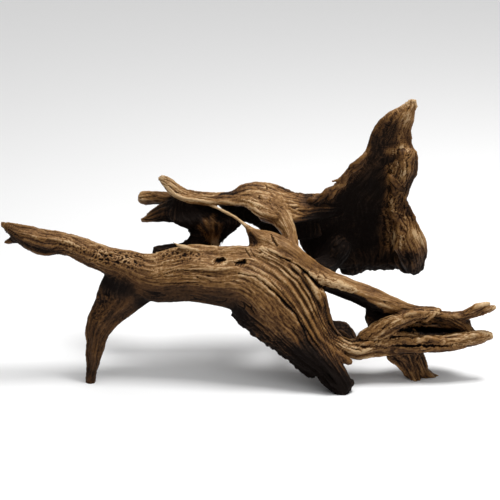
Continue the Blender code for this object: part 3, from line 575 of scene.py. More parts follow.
# Painted light: the right side of the stump is painted lighter where light falls on it.
patch("tone", 0.30, 18, ((392, 234), (394, 205), (392, 180), (388, 162), (390, 148)), "stump", "upper_lump")
patch("tone", 0.30, 6, ((398, 166), (401, 148)), "lower_lump", "stump")
# Painted highlight on the right rim of the lower lump.
patch("tone", 0.36, 6, ((414, 160), (420, 154), (422, 150)), "lower_lump")
patch("tone", -0.3, 9, ((396, 136), (412, 136)), "lower_lump", "stump")
patch("relief", 1.1, 16, ((396, 232), (396, 190), (392, 150)), "stump", "upper_lump", "lower_lump")
patch("fibrous", 0.4, 9, ((398, 226), (402, 204)), "upper_lump", "stump")
patch("relief", 0.8, 10, ((318, 199), (334, 208), (346, 224), (362, 234)), "stump")
pieces["stump"] = ((363, 148, 108), "stained_wood")

# The horn, a root that rises from the top of the stump and is broken off. It is stained where it leaves the
# stump, and worn bare and golden at its tip.
limb("horn", (0.14, 0.18, 0.26, 0.48, 0.82), [
    (390, 240, 111, 25.5, 12, 0, 8), (389.5, 251, 111, 22, 11.5, 0, 6), (391, 262, 111, 19.5, 11, 0, 4),
    (396, 272, 110, 17.7, 9.5), (402, 280, 110, 13, 7.5), (409, 287, 110, 7.7, 5), (411, 290.5, 110, 4.5, 4),
], level=True, relief=0.8)
# Painted highlight: the lit right ridge of the horn is painted paler.
patch("tone", 0.34, 9, ((407, 276), (402, 258), (403, 247)), "horn", "stump")
groove(
    FLUTE, ("horn",), ((384, 246, 2.4, 0.4), (384, 262, 3, 0.8), (392, 276, 2.4, 0.6), (400, 284, 1.4, 0.4)),
)
patch("tone", 0.16, 6, ((376, 262), (390, 280), (404, 288)), "horn")
patch("pitted", 0.3, 7, ((392, 276), (400, 281)), "horn")
forks.append(((389, 243, 108), (-0.12, 1, 0), 20))
pieces["horn"] = ((394, 265, 111), "bare_wood")

# The back root carries the stump and stands on two toes, worn level. A cross root joins it to the branch in
# front. It is stained all over.
limb("back_root", (-0.1, -0.1, 0.1, 0.2), [
    (338, 146, 116, 14, 12), (322, 124, 112, 12, 12), (315, 105, 109, 10.5, 11), (315, 87, 107, 9.5, 10),
    (321, 70, 104, 10, 10.5), (331, 61, 102, 10.5, 11), (341, 60, 100, 11.5, 12), (350, 48, 95, 9, 9),
    (357, 40, 90, 7, 7), (360.5, 33, 88, 6, 6), (361.5, 29, 87, 5, 5),
])
limb("rear_toe", (0.1, 0.15), [
    (322, 72, 108, 10, 10), (314, 60, 120, 8, 8), (309, 50, 130, 6, 6), (307, 40, 134, 4.5, 5),
])
limb("cross_root", (-0.1, -0.2), [(313, 121, 54, 9, 9), (314, 124, 80, 9, 9), (328, 128, 108, 10, 10)])
forks.append(((314, 123, 77), (0, 0, 1), 12))
forks.append(((322, 122, 112), (0.5, 0.86, 0), 15))
pieces["back_root"] = ((339, 61, 101), "stained_wood")

# Growing together. Rings of points through each limb's stations are drawn as a closed tube with round
# ends. The tubes are fused in one skin, the creases between them fill up with wood, as they do where roots
# grow together, and the skin is drawn once more, finely, with the thinnest splinters. Gnarls are fused in
# the first time only, which rounds them.
RING_POINTS = 48
STATION_STEP = 0.005
ROUGH_CELL = 0.0018
ROUGH_SMOOTHING = 4
CREASE_ROUNDS = 24
CREASE_PACE = 0.8
SKIN_CELL = 0.0009
SKIN_SMOOTHING = 3
END_ROUNDING = (0.45, 0.8, 0.97)
RING_WAVES = ((5, 0.045, 0.7), (8, 0.035, 2.1), (13, 0.022, 4.0))
WAVE_TWIST = 9.0
STEEPEST_SIGHT = 0.35


def between(values, t):
    """The value of a smooth curve between the second and the third of four."""
    a, b, c, d = values
    bend = (2 * a - 5 * b + 4 * c - d) * t * t
    return 0.5 * (2 * b + (c - a) * t + bend + (3 * b - a - 3 * c + d) * t ** 3)


def sections_of(stations):
    """Stations as world points with their sizes, eased along the limb at STATION_STEP."""
    rows = []
    for across, up, back, width, depth, *shape in stations:
        lean, bow = (*shape, 0, 0)[:2]
        rows.append((*seen(across, up, back), width * MM, depth * MM, math.radians(lean), bow * MM))
    sections = []
    for i in range(len(rows) - 1):
        near = [rows[max(i - 1, 0)], rows[i], rows[i + 1], rows[min(i + 2, len(rows) - 1)]]
        length = (Vector(rows[i + 1][:3]) - Vector(rows[i][:3])).length
        steps = max(2, round(length / STATION_STEP))
        for step in range(steps):
            sections.append([between(column, step / steps) for column in zip(*near)])
    sections.append(list(rows[-1]))
    return sections


def axes_of(along, level, lean):
    """The directions that a section of a limb lies in: across the view and into it, leaned."""
    across, inward = Vector((1, 0, 0)), SIGHT
    if not level:
        across = along.cross(SIGHT)
        if across.length < STEEPEST_SIGHT:
            across = Vector((0, 0, 1)).cross(along)
        across.normalize()
        inward = across.cross(along).normalized()
        if inward.dot(SIGHT) < 0:
            inward.negate()
    cosine, sine = math.cos(lean), math.sin(lean)
    return across * cosine + inward * sine, inward * cosine - across * sine


def ring(centre, axes, width, depth, bow, shrink, turn):
    """One closed row of points around a limb, fluted."""
    wide, deep = axes
    points = []
    for i in range(RING_POINTS):
        angle = 2 * math.pi * i / RING_POINTS
        waves = [part * math.cos(n * angle + phase + turn) for n, part, phase in RING_WAVES]
        swell = min(width, depth) * sum(waves)
        side = math.cos(angle) * (width + swell) * shrink
        rise = math.sin(angle) * (depth + swell) * shrink + bow * (1 - min(1, (side / width) ** 2))
        points.append(centre + wide * side + deep * rise)
    return points


def loft(sections, level, drawing):
    """Draws a limb: rings through its sections, with rounded ends."""
    points = [Vector(row[:3]) for row in sections]
    last = len(points) - 1
    rings = []
    for i, row in enumerate(sections):
        width, depth, lean, bow = row[3:]
        along = (points[min(i + 1, last)] - points[max(i - 1, 0)]).normalized()
        turn = WAVE_TWIST * i * STATION_STEP
        axes = axes_of(along, level, lean)
        rings.append(ring(points[i], axes, width, depth, bow, 1, turn))
        if i not in (0, last):
            continue
        outward = along if i else -along
        for part in END_ROUNDING:
            end = points[i] + outward * min(width, depth) * part
            rings.append(ring(end, axes, width, depth, bow, math.sqrt(1 - part * part), turn))
        if not i:
            rings.reverse()
    rows = [[drawing.verts.new(point) for point in points] for points in rings]
    for low, high in zip(rows, rows[1:]):
        for i in range(RING_POINTS):
            j = (i + 1) % RING_POINTS
            drawing.faces.new((low[i], low[j], high[j], high[i]))
    drawing.faces.new(list(reversed(rows[0])))
    drawing.faces.new(rows[-1])


def settled(mesh, set_up):
    """The mesh after the modifiers that set_up puts on an object made of it."""
    draft = new_object("Draft", mesh)
    set_up(draft)
    result = bpy.data.meshes.new_from_object(draft.evaluated_get(bpy.context.evaluated_depsgraph_get()))
    bpy.data.objects.remove(draft)
    bpy.data.meshes.remove(mesh)
    return result


def fused(cell, smoothing):
    """What draws all that overlaps in a draft as one even skin."""
    def set_up(draft):
        remesh = draft.modifiers.new("Fuse", "REMESH")
        remesh.mode = "VOXEL"
        remesh.voxel_size = cell
        smooth = draft.modifiers.new("Settle", "SMOOTH")
        smooth.iterations = smoothing
    return set_up


def vectors_of(mesh, field):
    flat = np.empty(len(mesh.vertices) * 3, np.float32)
    mesh.vertices.foreach_get(field, flat)
    return flat.reshape(-1, 3).astype(np.float64)


def move_points(mesh, points):
    mesh.vertices.foreach_set("co", points.astype(np.float32).reshape(-1))
    mesh.update()


def links_of(mesh):
    """Both ends of every edge, and how many neighbours each point has."""
    ends = np.empty(len(mesh.edges) * 2, np.int32)
    mesh.edges.foreach_get("vertices", ends)
    first, second = ends.reshape(-1, 2).T
    return first, second, np.bincount(ends, minlength=len(mesh.vertices)).clip(1)


def around(values, links):
    """The mean of each point's neighbours, column by column."""
    first, second, degree = links
    count = len(values)
    return np.stack([
        (np.bincount(first, column[second], count) + np.bincount(second, column[first], count)) / degree
        for column in values.T
    ], axis=1)


drawing = bmesh.new()
swallowed = bmesh.new()
for name, (_, _, level, stations) in limbs.items():
    loft(sections_of(stations), level, swallowed if name in grown_in else drawing)
bmesh.ops.recalc_face_normals(drawing, faces=drawing.faces)
bmesh.ops.recalc_face_normals(swallowed, faces=swallowed.faces)
mesh = bpy.data.meshes.new("Limbs")
drawing.to_mesh(mesh)
swallowed.from_mesh(mesh)
swallowed.to_mesh(mesh)
swallowed.free()
mesh = settled(mesh, fused(ROUGH_CELL, ROUGH_SMOOTHING))
points = vectors_of(mesh, "co")
links = links_of(mesh)
for _ in range(CREASE_ROUNDS):
    normals = vectors_of(mesh, "normal")
    outward = np.maximum(((around(points, links) - points) * normals).sum(1), 0)
    points += normals * (outward * CREASE_PACE)[:, None]
    move_points(mesh, points)
drawing.from_mesh(mesh)
drawing.to_mesh(mesh)
drawing.free()
mesh = settled(mesh, fused(SKIN_CELL, SKIN_SMOOTHING))

# The grain. Every point of the skin is read in the straightened measures of the two limbs nearest to it,
# so that the figure of the wood runs along each limb, widens and narrows with it, and knits at the forks.
# Limbs share a point within KNIT of their surfaces, and read points as far as REACH from them. Their
# measures are shifted, so that no two limbs have the same figure. Undersides are painted darker by how far
# they face down: painted shade.
SAMPLES = 3
KNIT = 0.0022
REACH = 0.020
DEEPEST_INSIDE = 0.002
FINEST_LIMB = 0.004
SHIFT_ALONG = 0.37
SHIFT_ACROSS = 0.11
UNDERSIDE_PAINTED_SHADE = 0.30
FACING = 0.4


def store(mesh, name, values, kind="FLOAT"):
    attribute = mesh.attributes.get(name) or mesh.attributes.new(name, kind, "POINT")
    field = "value" if kind == "FLOAT" else "vector"
    attribute.data.foreach_set(field, np.ascontiguousarray(values, np.float32).reshape(-1))


def centre_line(stations, level):
    """Arrays along a limb: middles, three axes, half sizes, bow, and the length so far, finely spaced."""
    rows = np.array(sections_of(stations))
    spots = np.arange(0, len(rows) - 1 + 1e-9, 1 / SAMPLES)
    rows = np.stack([np.interp(spots, np.arange(len(rows)), column) for column in rows.T], axis=1)
    middles = rows[:, :3]
    along = np.gradient(middles, axis=0)
    along /= np.linalg.norm(along, axis=1)[:, None]
    axes = [axes_of(Vector(direction), level, lean) for direction, lean in zip(along, rows[:, 5])]
    wide, deep = np.array(axes).transpose(1, 0, 2)
    length = np.concatenate([[0], np.cumsum(np.linalg.norm(np.diff(middles, axis=0), axis=1))])
    return middles, along, wide, deep, rows[:, 3], rows[:, 4], rows[:, 6], length


def segment_gap(across, up, start, end):
    """How far points of the view are from a stretch of a line, and how far along it, from 0 to 1."""
    run, rise = end[0] - start[0], end[1] - start[1]
    t = ((across - start[0]) * run + (up - start[1]) * rise) / max(run * run + rise * rise, 1e-9)
    t = np.clip(t, 0, 1)
    return np.hypot(across - start[0] - run * t, up - start[1] - rise * t), t


points = vectors_of(mesh, "co")
normals = vectors_of(mesh, "normal")
count = len(points)
gap_a, gap_b = np.ones((2, count))
grain_a, grain_b, course = np.zeros((3, count, 3))
owner = np.zeros(count, int)
tone_of, relief_of, cut, groove_shade = np.zeros((4, count))
weights = np.full(count, 1e-12)
for number, (tone, relief, level, stations) in enumerate(limbs.values()):
    middles, along, wide, deep, widths, depths, bows, length = centre_line(stations, level)
    margin = max(widths.max(), depths.max()) + REACH
    inside = ((points > middles.min(0) - margin) & (points < middles.max(0) + margin)).all(1)
    chosen = np.nonzero(inside)[0]
    close = ((middles ** 2).sum(1) - 2 * points[chosen] @ middles.T).argmin(1)
    offset = points[chosen] - middles[close]
    side, inward, ahead = [(offset * axis[close]).sum(1) for axis in (wide, deep, along)]
    width, depth = widths[close], depths[close]
    inward = inward - bows[close] * (1 - np.minimum(1, (side / width) ** 2))
    thin = np.minimum(width, depth)
    past_end = np.where((close == 0) | (close == len(middles) - 1), np.abs(ahead), 0)
    gap = (np.sqrt((side / width) ** 2 + (inward / depth) ** 2 + (past_end / thin) ** 2) - 1) * thin
    straight = np.stack([
        length[close] + ahead + number * SHIFT_ALONG,
        side * widths.mean() / np.maximum(width, FINEST_LIMB) + number * SHIFT_ACROSS,
        inward * depths.mean() / np.maximum(depth, FINEST_LIMB),
    ], axis=1) / MM
    first = gap < gap_a[chosen]
    second = ~first & (gap < gap_b[chosen])
    a, b = chosen[first], chosen[second]
    gap_b[a], grain_b[a] = gap_a[a], grain_a[a]
    gap_a[a], grain_a[a], owner[a] = gap[first], straight[first], number
    course[a] = along[close][first]
    gap_b[b], grain_b[b] = gap[second], straight[second]
    weight = np.exp(-np.maximum(gap, -DEEPEST_INSIDE) / KNIT)
    progress = length[close] / length[-1]
    weights[chosen] += weight
    tone_of[chosen] += weight * np.interp(progress, np.linspace(0, 1, len(tone)), tone)
    relief_of[chosen] += weight * relief
across, up = shown(points)
limb_names = list(limbs)
front = np.clip(FACING - normals @ np.array(SIGHT), 0, 1)
# Painted shade: the tone is darkened on faces that point down.
patched = {
    "tone": tone_of / weights - UNDERSIDE_PAINTED_SHADE * np.clip(-normals[:, 2], 0, 1) ** 2,
    "relief": relief_of / weights,
    "pitted": np.zeros(count),
    "fibrous": np.zeros(count),
}
for kind, amount, radius, line, limb_group in patches:
    gap = np.min([segment_gap(across, up, start, end)[0] for start, end in zip(line, line[1:])], axis=0)
    part = np.clip(1 - gap / radius, 0, 1)
    if limb_group:
        part = part * np.isin(owner, [limb_names.index(name) for name in limb_group])
    if kind in ("pitted", "fibrous"):
        part = part * front
    patched[kind] += amount * part * part * (3 - 2 * part)
store(mesh, "grain_a", grain_a, "FLOAT_VECTOR")
store(mesh, "grain_b", grain_b, "FLOAT_VECTOR")
store(mesh, "course", course, "FLOAT_VECTOR")
store(mesh, "knit", 1 / (1 + np.exp(np.clip((gap_b - gap_a) / KNIT, 0, 30))))
for kind, values in patched.items():
    store(mesh, kind, values)

# Cracks, holes and flutes, cut into the front of the limbs that carry them, with ragged sides. The deep
# ones are painted dark by their depth, as painted shade.
RAGGED = ((0.9, 0.5, 0.18), (2.3, -1.4, 0.12), (-1.7, 3.1, 0.10))
RAGGED_WIDTH = 2

facing = normals @ np.array(SIGHT) < 0
ragged = sum(part * np.sin(run * across + rise * up) for run, rise, part in RAGGED)
for owners, row, sides, shade_per_depth in grooves:
    own = [limb_names.index(name) for name in owners or limbs]
    chosen = np.nonzero(facing & np.isin(owner, own))[0]
    for start, end in zip(row, row[1:]):
        gap, t = segment_gap(across[chosen], up[chosen], start, end)
        opening = start[2] + (end[2] - start[2]) * t
        depth = start[3] + (end[3] - start[3]) * t
        gap = np.abs(gap + np.minimum(opening, RAGGED_WIDTH) * ragged[chosen])
        sunk = depth * np.clip(1 - (gap / opening) ** sides, 0, 1)
        cut[chosen] = np.maximum(cut[chosen], sunk)
        groove_shade[chosen] = np.maximum(groove_shade[chosen], shade_per_depth * sunk)
points += np.array(SIGHT) * cut[:, None] * MM
move_points(mesh, points)
store(mesh, "groove_shade", groove_shade)

# Weathering. One tree of geometry nodes raises the fibres and the flutes, opens the drying cracks along the
# grain, pits the rotten patches and rolls low lumps, all in the straightened measures of the limbs. Sizes
# are in metres, and heights, depths and rises in millimetres. Each noise along the grain has its length and
# its width in millimetres, its detail and its roughness.
WEATHERING = {"Lump Height": 2.6, "Lump Size": 0.017, "Pit Size": 0.0042, "Pit Depth": 1.4}
GRAIN = {
    "wander": (42, 20, 1, 0.55),
    "flute": (75, 7, 1, 0.55),
    "crest": (60, 9, 2, 0.5),
    "fibre": (20, 2.1, 3, 0.6),
    "wrinkle": (6, 2.6, 2, 0.6),
    "split": (48, 8.5, 2, 0.45),
    "cracked": (24, 12, 1, 0.55),
    "streak": (30, 4.5, 2, 0.6),
    "fine fibre": (20, 0.85, 3, 0.65),
}
RISES = {"flute": 3.2, "crest": 1.1, "fibre": 2.1, "wrinkle": 1.7, "split": -1.5}
CREST_WIDTH = 0.11
SPLIT_WIDTH = 0.022
SPLIT_MIDDLE = 0.46
SPLIT_ENDING = 9
WANDER = (0, 8, 8)
PIT_LIP = 0.07
PIT_SLOPE = 0.28
CRUMBLING = 1.6


def maths(tree, kind="ShaderNodeMath"):
    """The arithmetic of a tree: maths(tree)("ADD", a, b) adds a node and gives its result."""
    def result(operation, *values, **settings):
        return add_node(tree, kind, dict(enumerate(values)), operation=operation, **settings)
    return result


def noise(tree, place, scale=1, detail=2, rough=0.5, output="Fac"):
    sockets = {"Vector": place, "Scale": scale, "Detail": detail, "Roughness": rough}
    return add_node(tree, "ShaderNodeTexNoise", sockets, output)


def grain_noise(tree, place, kind, output="Fac"):
    """Noise drawn out along the grain."""
    length, width, detail, rough = GRAIN[kind]
    place = maths(tree, "ShaderNodeVectorMath")("DIVIDE", place, (length, width, width))
    return noise(tree, place, 1, detail, rough, output)


def new_tree(name, entries, exits):
    """A new tree with named sockets: the tree, its inputs, and the node that takes its results."""
    tree = bpy.data.node_groups.new(name, "GeometryNodeTree")
    for in_out, sockets in (("INPUT", entries), ("OUTPUT", exits)):
        for socket, kind in sockets.items():
            tree.interface.new_socket(socket, in_out=in_out, socket_type="NodeSocket" + kind)
    return tree, tree.nodes.new("NodeGroupInput").outputs, tree.nodes.new("NodeGroupOutput")


def surface_tree(name, sizes):
    """A tree that dresses a surface: geometry in and out, with its sizes and its finish as named inputs."""
    entries = {"Geometry": "Geometry", **dict.fromkeys(sizes, "Float"), "Finish": "Material"}
    return new_tree(name, entries, {"Geometry": "Geometry"})


def wood_figure():
    """Height, in millimetres, streaks and splits of the wood at a place in its straightened measures."""
    tree, entry, leave = new_tree(
        "Wood figure", {"Place": "Vector"}, dict.fromkeys(("Height", "Streak", "Split"), "Float")
    )
    do = maths(tree)

    def swing(kind, middle=0.5):
        """How far the noise is above its middle."""
        return do("SUBTRACT", grain_noise(tree, place, kind), middle)

    def line(kind, width, middle=0.5):
        """1 along the lines where the noise passes its middle, down to 0 at their sides."""
        away = do("DIVIDE", do("ABSOLUTE", swing(kind, middle)), width)
        return do("SUBTRACT", 1, away, use_clamp=True)

    wander = grain_noise(tree, entry["Place"], "wander", "Color")
    place = maths(tree, "ShaderNodeVectorMath")("MULTIPLY_ADD", wander, WANDER, entry["Place"])
    streak = grain_noise(tree, place, "streak")
    parts = {kind: swing(kind) for kind in ("flute", "fibre", "wrinkle")}
    parts["crest"] = line("crest", CREST_WIDTH)
    cracked = do("MULTIPLY", swing("cracked"), SPLIT_ENDING, use_clamp=True)
    parts["split"] = do("MULTIPLY", line("split", SPLIT_WIDTH, SPLIT_MIDDLE), cracked)
    height = 0
    for kind, rise in RISES.items():
        height = do("MULTIPLY_ADD", parts[kind], rise, height)
    fill_node(tree, leave, {"Height": height, "Streak": streak, "Split": parts["split"]})
    return tree


def stored(tree, name, kind="FLOAT"):
    """An attribute of the wood, read in a tree of geometry nodes."""
    return add_node(tree, "GeometryNodeInputNamedAttribute", {"Name": name}, data_type=kind)


def finished(tree, geometry, finish):
    """Geometry with its instances realized and its finish on."""
    real = add_node(tree, "GeometryNodeRealizeInstances", {"Geometry": geometry})
    return add_node(tree, "GeometryNodeSetMaterial", {"Geometry": real, "Material": finish})


def weathered_tree():
    tree, entry, leave = surface_tree("Weathered wood", WEATHERING)
    do = maths(tree)
    vectors = maths(tree, "ShaderNodeVectorMath")
    figure = wood_figure()
    figures = []
    for name in ("grain_a", "grain_b"):
        sockets = {"Place": stored(tree, name, "FLOAT_VECTOR")}
        figures.append(add_node(tree, "GeometryNodeGroup", sockets, node_tree=figure).node.outputs)
    knit = stored(tree, "knit")
    height, streak, split = [do("MULTIPLY_ADD", do("SUBTRACT", b, a), knit, a) for a, b in zip(*figures)]
    height = do("MULTIPLY", height, stored(tree, "relief"))

    position = add_node(tree, "GeometryNodeInputPosition")
    place = vectors("MULTIPLY", position, do("DIVIDE", 1, entry["Lump Size"]))
    height = do("MULTIPLY_ADD", do("SUBTRACT", noise(tree, place), 0.5), entry["Lump Height"], height)

    place = vectors("MULTIPLY", position, do("DIVIDE", 1, entry["Pit Size"]))
    crumbled = vectors("ADD", noise(tree, place, CRUMBLING, output="Color"), place)
    sockets = {"Vector": crumbled, "Scale": 1}
    wall = add_node(tree, "ShaderNodeTexVoronoi", sockets, "Distance", feature="DISTANCE_TO_EDGE")
    pit = do("DIVIDE", do("SUBTRACT", wall, PIT_LIP), PIT_SLOPE, use_clamp=True)
    pit = do("MULTIPLY", pit, stored(tree, "pitted"))
    height = do("SUBTRACT", height, do("MULTIPLY", pit, entry["Pit Depth"]))

    geometry = entry["Geometry"]
    for name, value in (("streak", streak), ("split", split), ("pit", pit)):
        sockets = {"Geometry": geometry, "Name": name, "Value": value}
        geometry = add_node(tree, "GeometryNodeStoreNamedAttribute", sockets)
    offset = vectors("MULTIPLY", add_node(tree, "GeometryNodeInputNormal"), do("MULTIPLY", height, MM))
    moved = add_node(tree, "GeometryNodeSetPosition", {"Geometry": geometry, "Offset": offset})
    fill_node(tree, leave, {"Geometry": finished(tree, moved, entry["Finish"])})
    return tree


def add_tree(draft, tree, values):
    """Puts a tree on an object as a modifier, with its named inputs set."""
    modifier = draft.modifiers.new(tree.name, "NODES")
    modifier.node_group = tree
    for item in tree.interface.items_tree:
        if item.in_out == "INPUT" and item.name in values:
            modifier[item.identifier] = values[item.name]


# The finish: worn wood, pale on its edges from wear and from painted highlight, streaked along the grain
# and nearly black where peat has stained it and where shade is painted, with a dull waxy gloss where it is
# bare. Fine fibres lie along the grain in its bump. The amounts say how much each thing bares the wood or
# darkens it, on the scale of the tones. Specks, clouds and crinkles are noises with a scale, in waves a
# metre, and a detail.
# The darkest stop is for peat stain and painted shade alike.
BLACK_PEAT_AND_SHADE = (0.0050, 0.0019, 0.0007)
DARK_WOOD = (0.022, 0.0095, 0.0032)
RED_WOOD = (0.088, 0.037, 0.0105)
GOLDEN_WOOD = (0.245, 0.122, 0.038)
PALE_WOOD = (0.52, 0.35, 0.185)
TONE_STOPS = (
    (0, BLACK_PEAT_AND_SHADE), (0.22, DARK_WOOD), (0.46, RED_WOOD), (0.76, GOLDEN_WOOD), (1, PALE_WOOD),
)
SPECKS = (1100, 2)
CLOUDS = (55, 5)
CRINKLES = (420, 3)
STREAKED, FIBROUS, WORN_AND_PAINTED_LIGHT = 0.36, 0.45, 0.42
CLOUDED, CRINKLED = 0.60, 0.22
# Splits, grooves and pits are painted darker by their depth: painted shade in the recesses.
DARKENED_AS_SHADE = {"split": -0.26, "groove_shade": -1, "pit": -0.50}
SMOOTH_WOOD = 0.25
RELIEF_SHARE = 0.55
KNIT_START = 0.25
KNIT_RATE = 5
STAINED_ROUGHNESS = 0.85
BARE_ROUGHNESS = 0.27
RUBBED = 0.14
DULLEST = 0.9
GLOSS = 0.15
BUMP_STRENGTH = 0.8
BUMP_HEIGHT = 0.001
CRINKLE_BUMP = 0.9


def wood_finish(name):
    material = bpy.data.materials.new(name)
    material.use_nodes = True
    tree = material.node_tree
    do = maths(tree)

    def named(name, output="Fac"):
        return add_node(tree, "ShaderNodeAttribute", output=output, attribute_name=name)

    coordinates = add_node(tree, "ShaderNodeTexCoord", output="Object")
    speck, cloud, crinkle = [noise(tree, coordinates, *sizes) for sizes in (SPECKS, CLOUDS, CRINKLES)]
    knitted = do("MULTIPLY", do("SUBTRACT", named("knit"), KNIT_START), KNIT_RATE, use_clamp=True)
    fibre = grain_noise(tree, named("grain_a", "Vector"), "fine fibre")
    fibre = do("MULTIPLY_ADD", do("SUBTRACT", speck, fibre), knitted, fibre)

    # Ridges are painted paler and hollows darker: partly wear, partly painted highlight and painted shade.
    figure = do("MULTIPLY", named("wear_and_painted_light"), WORN_AND_PAINTED_LIGHT)
    for part, amount in ((named("streak"), STREAKED), (fibre, FIBROUS)):
        figure = do("MULTIPLY_ADD", do("SUBTRACT", part, 0.5), amount, figure)
    figured = do("MULTIPLY_ADD", named("relief"), RELIEF_SHARE, SMOOTH_WOOD, use_clamp=True)
    bare = do("MULTIPLY_ADD", figure, figured, named("tone"))
    for part, amount in ((cloud, CLOUDED), (crinkle, CRINKLED)):
        bare = do("MULTIPLY_ADD", do("SUBTRACT", part, 0.5), amount, bare)
    for part, amount in DARKENED_AS_SHADE.items():
        bare = do("MULTIPLY_ADD", named(part), amount, bare)
    colour_of_tone = add_node(tree, "ShaderNodeValToRGB", {"Fac": bare}, "Color")
    stops = colour_of_tone.node.color_ramp.elements
    while len(stops) < len(TONE_STOPS):
        stops.new(0.5)
    for stop, (spot, colour) in zip(stops, TONE_STOPS):
        stop.position = spot
        stop.color = (*colour, 1)
    dullness = do("MULTIPLY_ADD", bare, BARE_ROUGHNESS - STAINED_ROUGHNESS, STAINED_ROUGHNESS)
    dullness = do("MULTIPLY_ADD", named("wear_and_painted_light"), -RUBBED, dullness)
    bumps = do("MULTIPLY_ADD", crinkle, CRINKLE_BUMP, fibre)
    sockets = {"Strength": BUMP_STRENGTH, "Distance": BUMP_HEIGHT, "Height": bumps}
    fill_node(tree, tree.nodes["Principled BSDF"], {
        "Base Color": colour_of_tone,
        "Roughness": do("MINIMUM", dullness, DULLEST),
        "Specular IOR Level": GLOSS,
        "Normal": add_node(tree, "ShaderNodeBump", sockets),
    })
    return material


finishes = {"bare_wood": wood_finish("Bare wood"), "stained_wood": wood_finish("Stained wood")}
values = {**WEATHERING, "Finish": finishes["bare_wood"]}
mesh = settled(mesh, lambda draft: add_tree(draft, weathered_tree(), values))

# Wear and painted light: edges and ridges are painted pale, partly as rubbed wear and partly as painted
# highlight, and hollows are painted dark, as painted shade. It is read from how far each point stands out
# from the points around it, near by and farther off: a number of rounds of smoothing, and how far out, in
# metres, counts as rubbed.
WEAR_AND_LIGHT_SPREADS = ((2, 0.00007), (14, 0.0004), (40, 0.0011))

points = vectors_of(mesh, "co")
normals = vectors_of(mesh, "normal")
links = links_of(mesh)
wear_and_painted_light = np.zeros(len(points))
spread = points
done = 0
for rounds, scale in WEAR_AND_LIGHT_SPREADS:
    for _ in range(rounds - done):
        spread = 0.5 * spread + 0.5 * around(spread, links)
    done = rounds
    wear_and_painted_light += np.tanh(((points - spread) * normals).sum(1) / scale) / len(WEAR_AND_LIGHT_SPREADS)
store(mesh, "wear_and_painted_light", wear_and_painted_light)

# Kept within the length, depth and height of the solids, and cut level at the ground.
SOLE_BAND = 0.003

points = np.clip(points, np.array(cad_box[0]) * (1, 1, 0) - (0, 0, 1), np.array(cad_box[1]))
move_points(mesh, points)


def cut_faces(faces, point, normal, clear=False):
    """Cuts the drawing's faces by a plane. It returns the new edges, or clears what lies past the plane."""
    edges = dict.fromkeys(edge for face in faces for edge in face.edges)
    corners = dict.fromkeys(vertex for face in faces for vertex in face.verts)
    made = bmesh.ops.bisect_plane(
        drawing, geom=[*corners, *edges, *faces], plane_co=point, plane_no=normal, clear_outer=clear,
    )["geom_cut"]
    return [item for item in made if isinstance(item, bmesh.types.BMEdge)]


def close_rims(edges):
    bmesh.ops.holes_fill(drawing, edges=[edge for edge in edges if edge.is_boundary], sides=0)


drawing = bmesh.new()
drawing.from_mesh(mesh)
vertices = list(drawing.verts)
low = [vertices[i] for i in np.nonzero(points[:, 2] < SOLE_BAND)[0]]
low_faces = dict.fromkeys(face for vertex in low for face in vertex.link_faces)
cut_faces(low_faces, (0, 0, 0), (0, 0, -1), clear=True)
close_rims(drawing.edges)

# Sawn apart at the forks, as the solids are: each cut runs round the limb and both faces are closed.


def crossed_faces(near, point, normal):
    """The closed rows of faces that a plane crosses, followed from those at the given vertices."""
    def past(vertex):
        return (vertex.co - point).dot(normal) > 0

    touched = dict.fromkeys(face for vertex in near for face in vertex.link_faces)
    row = [face for face in touched if len({past(corner) for corner in face.verts}) == 2]
    found = set(row)
    for face in row:
        for edge in face.edges:
            if past(edge.verts[0]) == past(edge.verts[1]):
                continue
            new = [other for other in edge.link_faces if other not in found]
            found.update(new)
            row.extend(new)
    return row


for middle, blade, reach in forks:
    point = seen(*middle)
    right, rise, away = blade
    normal = (Vector((right, 0, 0)) + VIEW_UP * rise + SIGHT * away).normalized()
    close = np.nonzero(((points - np.array(point)) ** 2).sum(1) < (reach * MM) ** 2)[0]
    near = [vertices[i] for i in close if vertices[i].is_valid]
    cut_edges = cut_faces(crossed_faces(near, point, normal), point, normal)
    close_rims(bmesh.ops.split_edges(drawing, edges=cut_edges)["edges"])
drawing.to_mesh(mesh)
drawing.free()

whole = new_object("Wood", mesh)
bpy.ops.object.select_all(action="DESELECT")
whole.select_set(True)
bpy.context.view_layer.objects.active = whole
bpy.ops.object.mode_set(mode="EDIT")
bpy.ops.mesh.select_all(action="SELECT")
bpy.ops.mesh.separate(type="LOOSE")
bpy.ops.object.mode_set(mode="OBJECT")
sawn = {obj: vectors_of(obj.data, "co") for obj in bpy.context.selected_objects}

# Loose fibres stand on the rotten patches: thin tapered strands, each rooted in the wood. They point away
# from it, COMBED times as far along the grain, and SPLAYED at random. Their density is for a square metre.
STRAND_SIDES = 4
STRAND_BENDS = 3
STRAND_TIP = 0.25
FIBRES = {"Density": 380000.0, "Length": 0.0050, "Thickness": 0.00030}
COMBED = (2.4, 2.4, 2.4)
SPLAYED = ((-0.8, -0.8, -0.5), (0.8, 0.8, 0.8))
STRAND_SCALES = (0.35, 1.25)
SCATTER_SEED, SPLAY_SEED, SCALE_SEED = 7, 3, 5


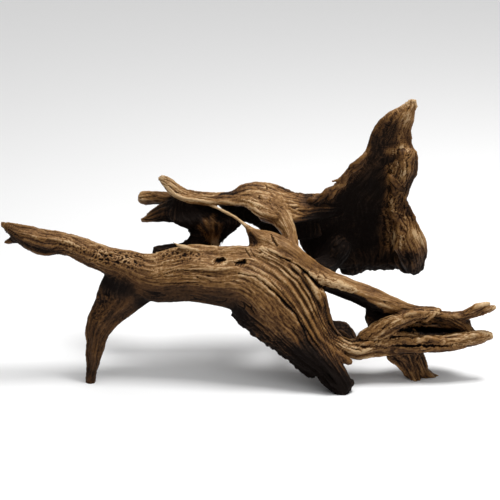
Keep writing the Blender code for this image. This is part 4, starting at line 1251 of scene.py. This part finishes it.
def fibre_tree():
    tree, entry, leave = surface_tree("Loose fibres", FIBRES)
    do = maths(tree)
    vectors = maths(tree, "ShaderNodeVectorMath")

    def at_random(limits, seed, kind, first, output):
        """A random value between two limits. first and output number its sockets, which its kind sets."""
        sockets = {first: limits[0], first + 1: limits[1], "Seed": seed}
        return add_node(tree, "FunctionNodeRandomValue", sockets, output, data_type=kind)

    density = do("MULTIPLY", entry["Density"], stored(tree, "fibrous"))
    roots = add_node(tree, "GeometryNodeDistributePointsOnFaces", {
        "Mesh": entry["Geometry"], "Density": density, "Seed": SCATTER_SEED,
    })
    outward = roots.node.outputs["Normal"]
    strand = add_node(tree, "GeometryNodeMeshCone", {
        "Vertices": STRAND_SIDES, "Side Segments": STRAND_BENDS, "Depth": entry["Length"],
        "Radius Top": do("MULTIPLY", entry["Thickness"], STRAND_TIP), "Radius Bottom": entry["Thickness"],
    })
    combed = vectors("MULTIPLY_ADD", stored(tree, "course", "FLOAT_VECTOR"), COMBED, outward)
    splayed = vectors("ADD", combed, at_random(SPLAYED, SPLAY_SEED, "FLOAT_VECTOR", 0, 0))
    turned = add_node(tree, "FunctionNodeAlignRotationToVector", {"Vector": splayed}, axis="Z")
    planted = add_node(tree, "GeometryNodeInstanceOnPoints", {
        "Points": roots, "Instance": strand, "Rotation": turned,
        "Scale": at_random(STRAND_SCALES, SCALE_SEED, "FLOAT", 2, 1),
    })
    fibres = finished(tree, planted, entry["Finish"])
    joined = add_node(tree, "GeometryNodeJoinGeometry", {"Geometry": fibres})
    fill_node(tree, joined.node, {"Geometry": entry["Geometry"]})
    fill_node(tree, leave, {"Geometry": joined})
    return tree


loose_fibres = fibre_tree()
for name, (inside, slot) in pieces.items():
    target = np.array(seen(*inside))
    found = min(sawn, key=lambda obj: ((sawn[obj] - target) ** 2).sum(1).min())
    del sawn[found]
    skin = found.data
    bpy.data.objects.remove(found)
    skin.materials.clear()
    skin.materials.append(finishes[slot])
    values = {**FIBRES, "Finish": finishes[slot]}
    skin = settled(skin, lambda draft: add_tree(draft, loose_fibres, values))
    piece = new_object("wood_" + name, skin)
    skin.shade_smooth()
    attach(piece, "root")
    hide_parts(name)
for crumb in sawn:
    bpy.data.objects.remove(crumb)
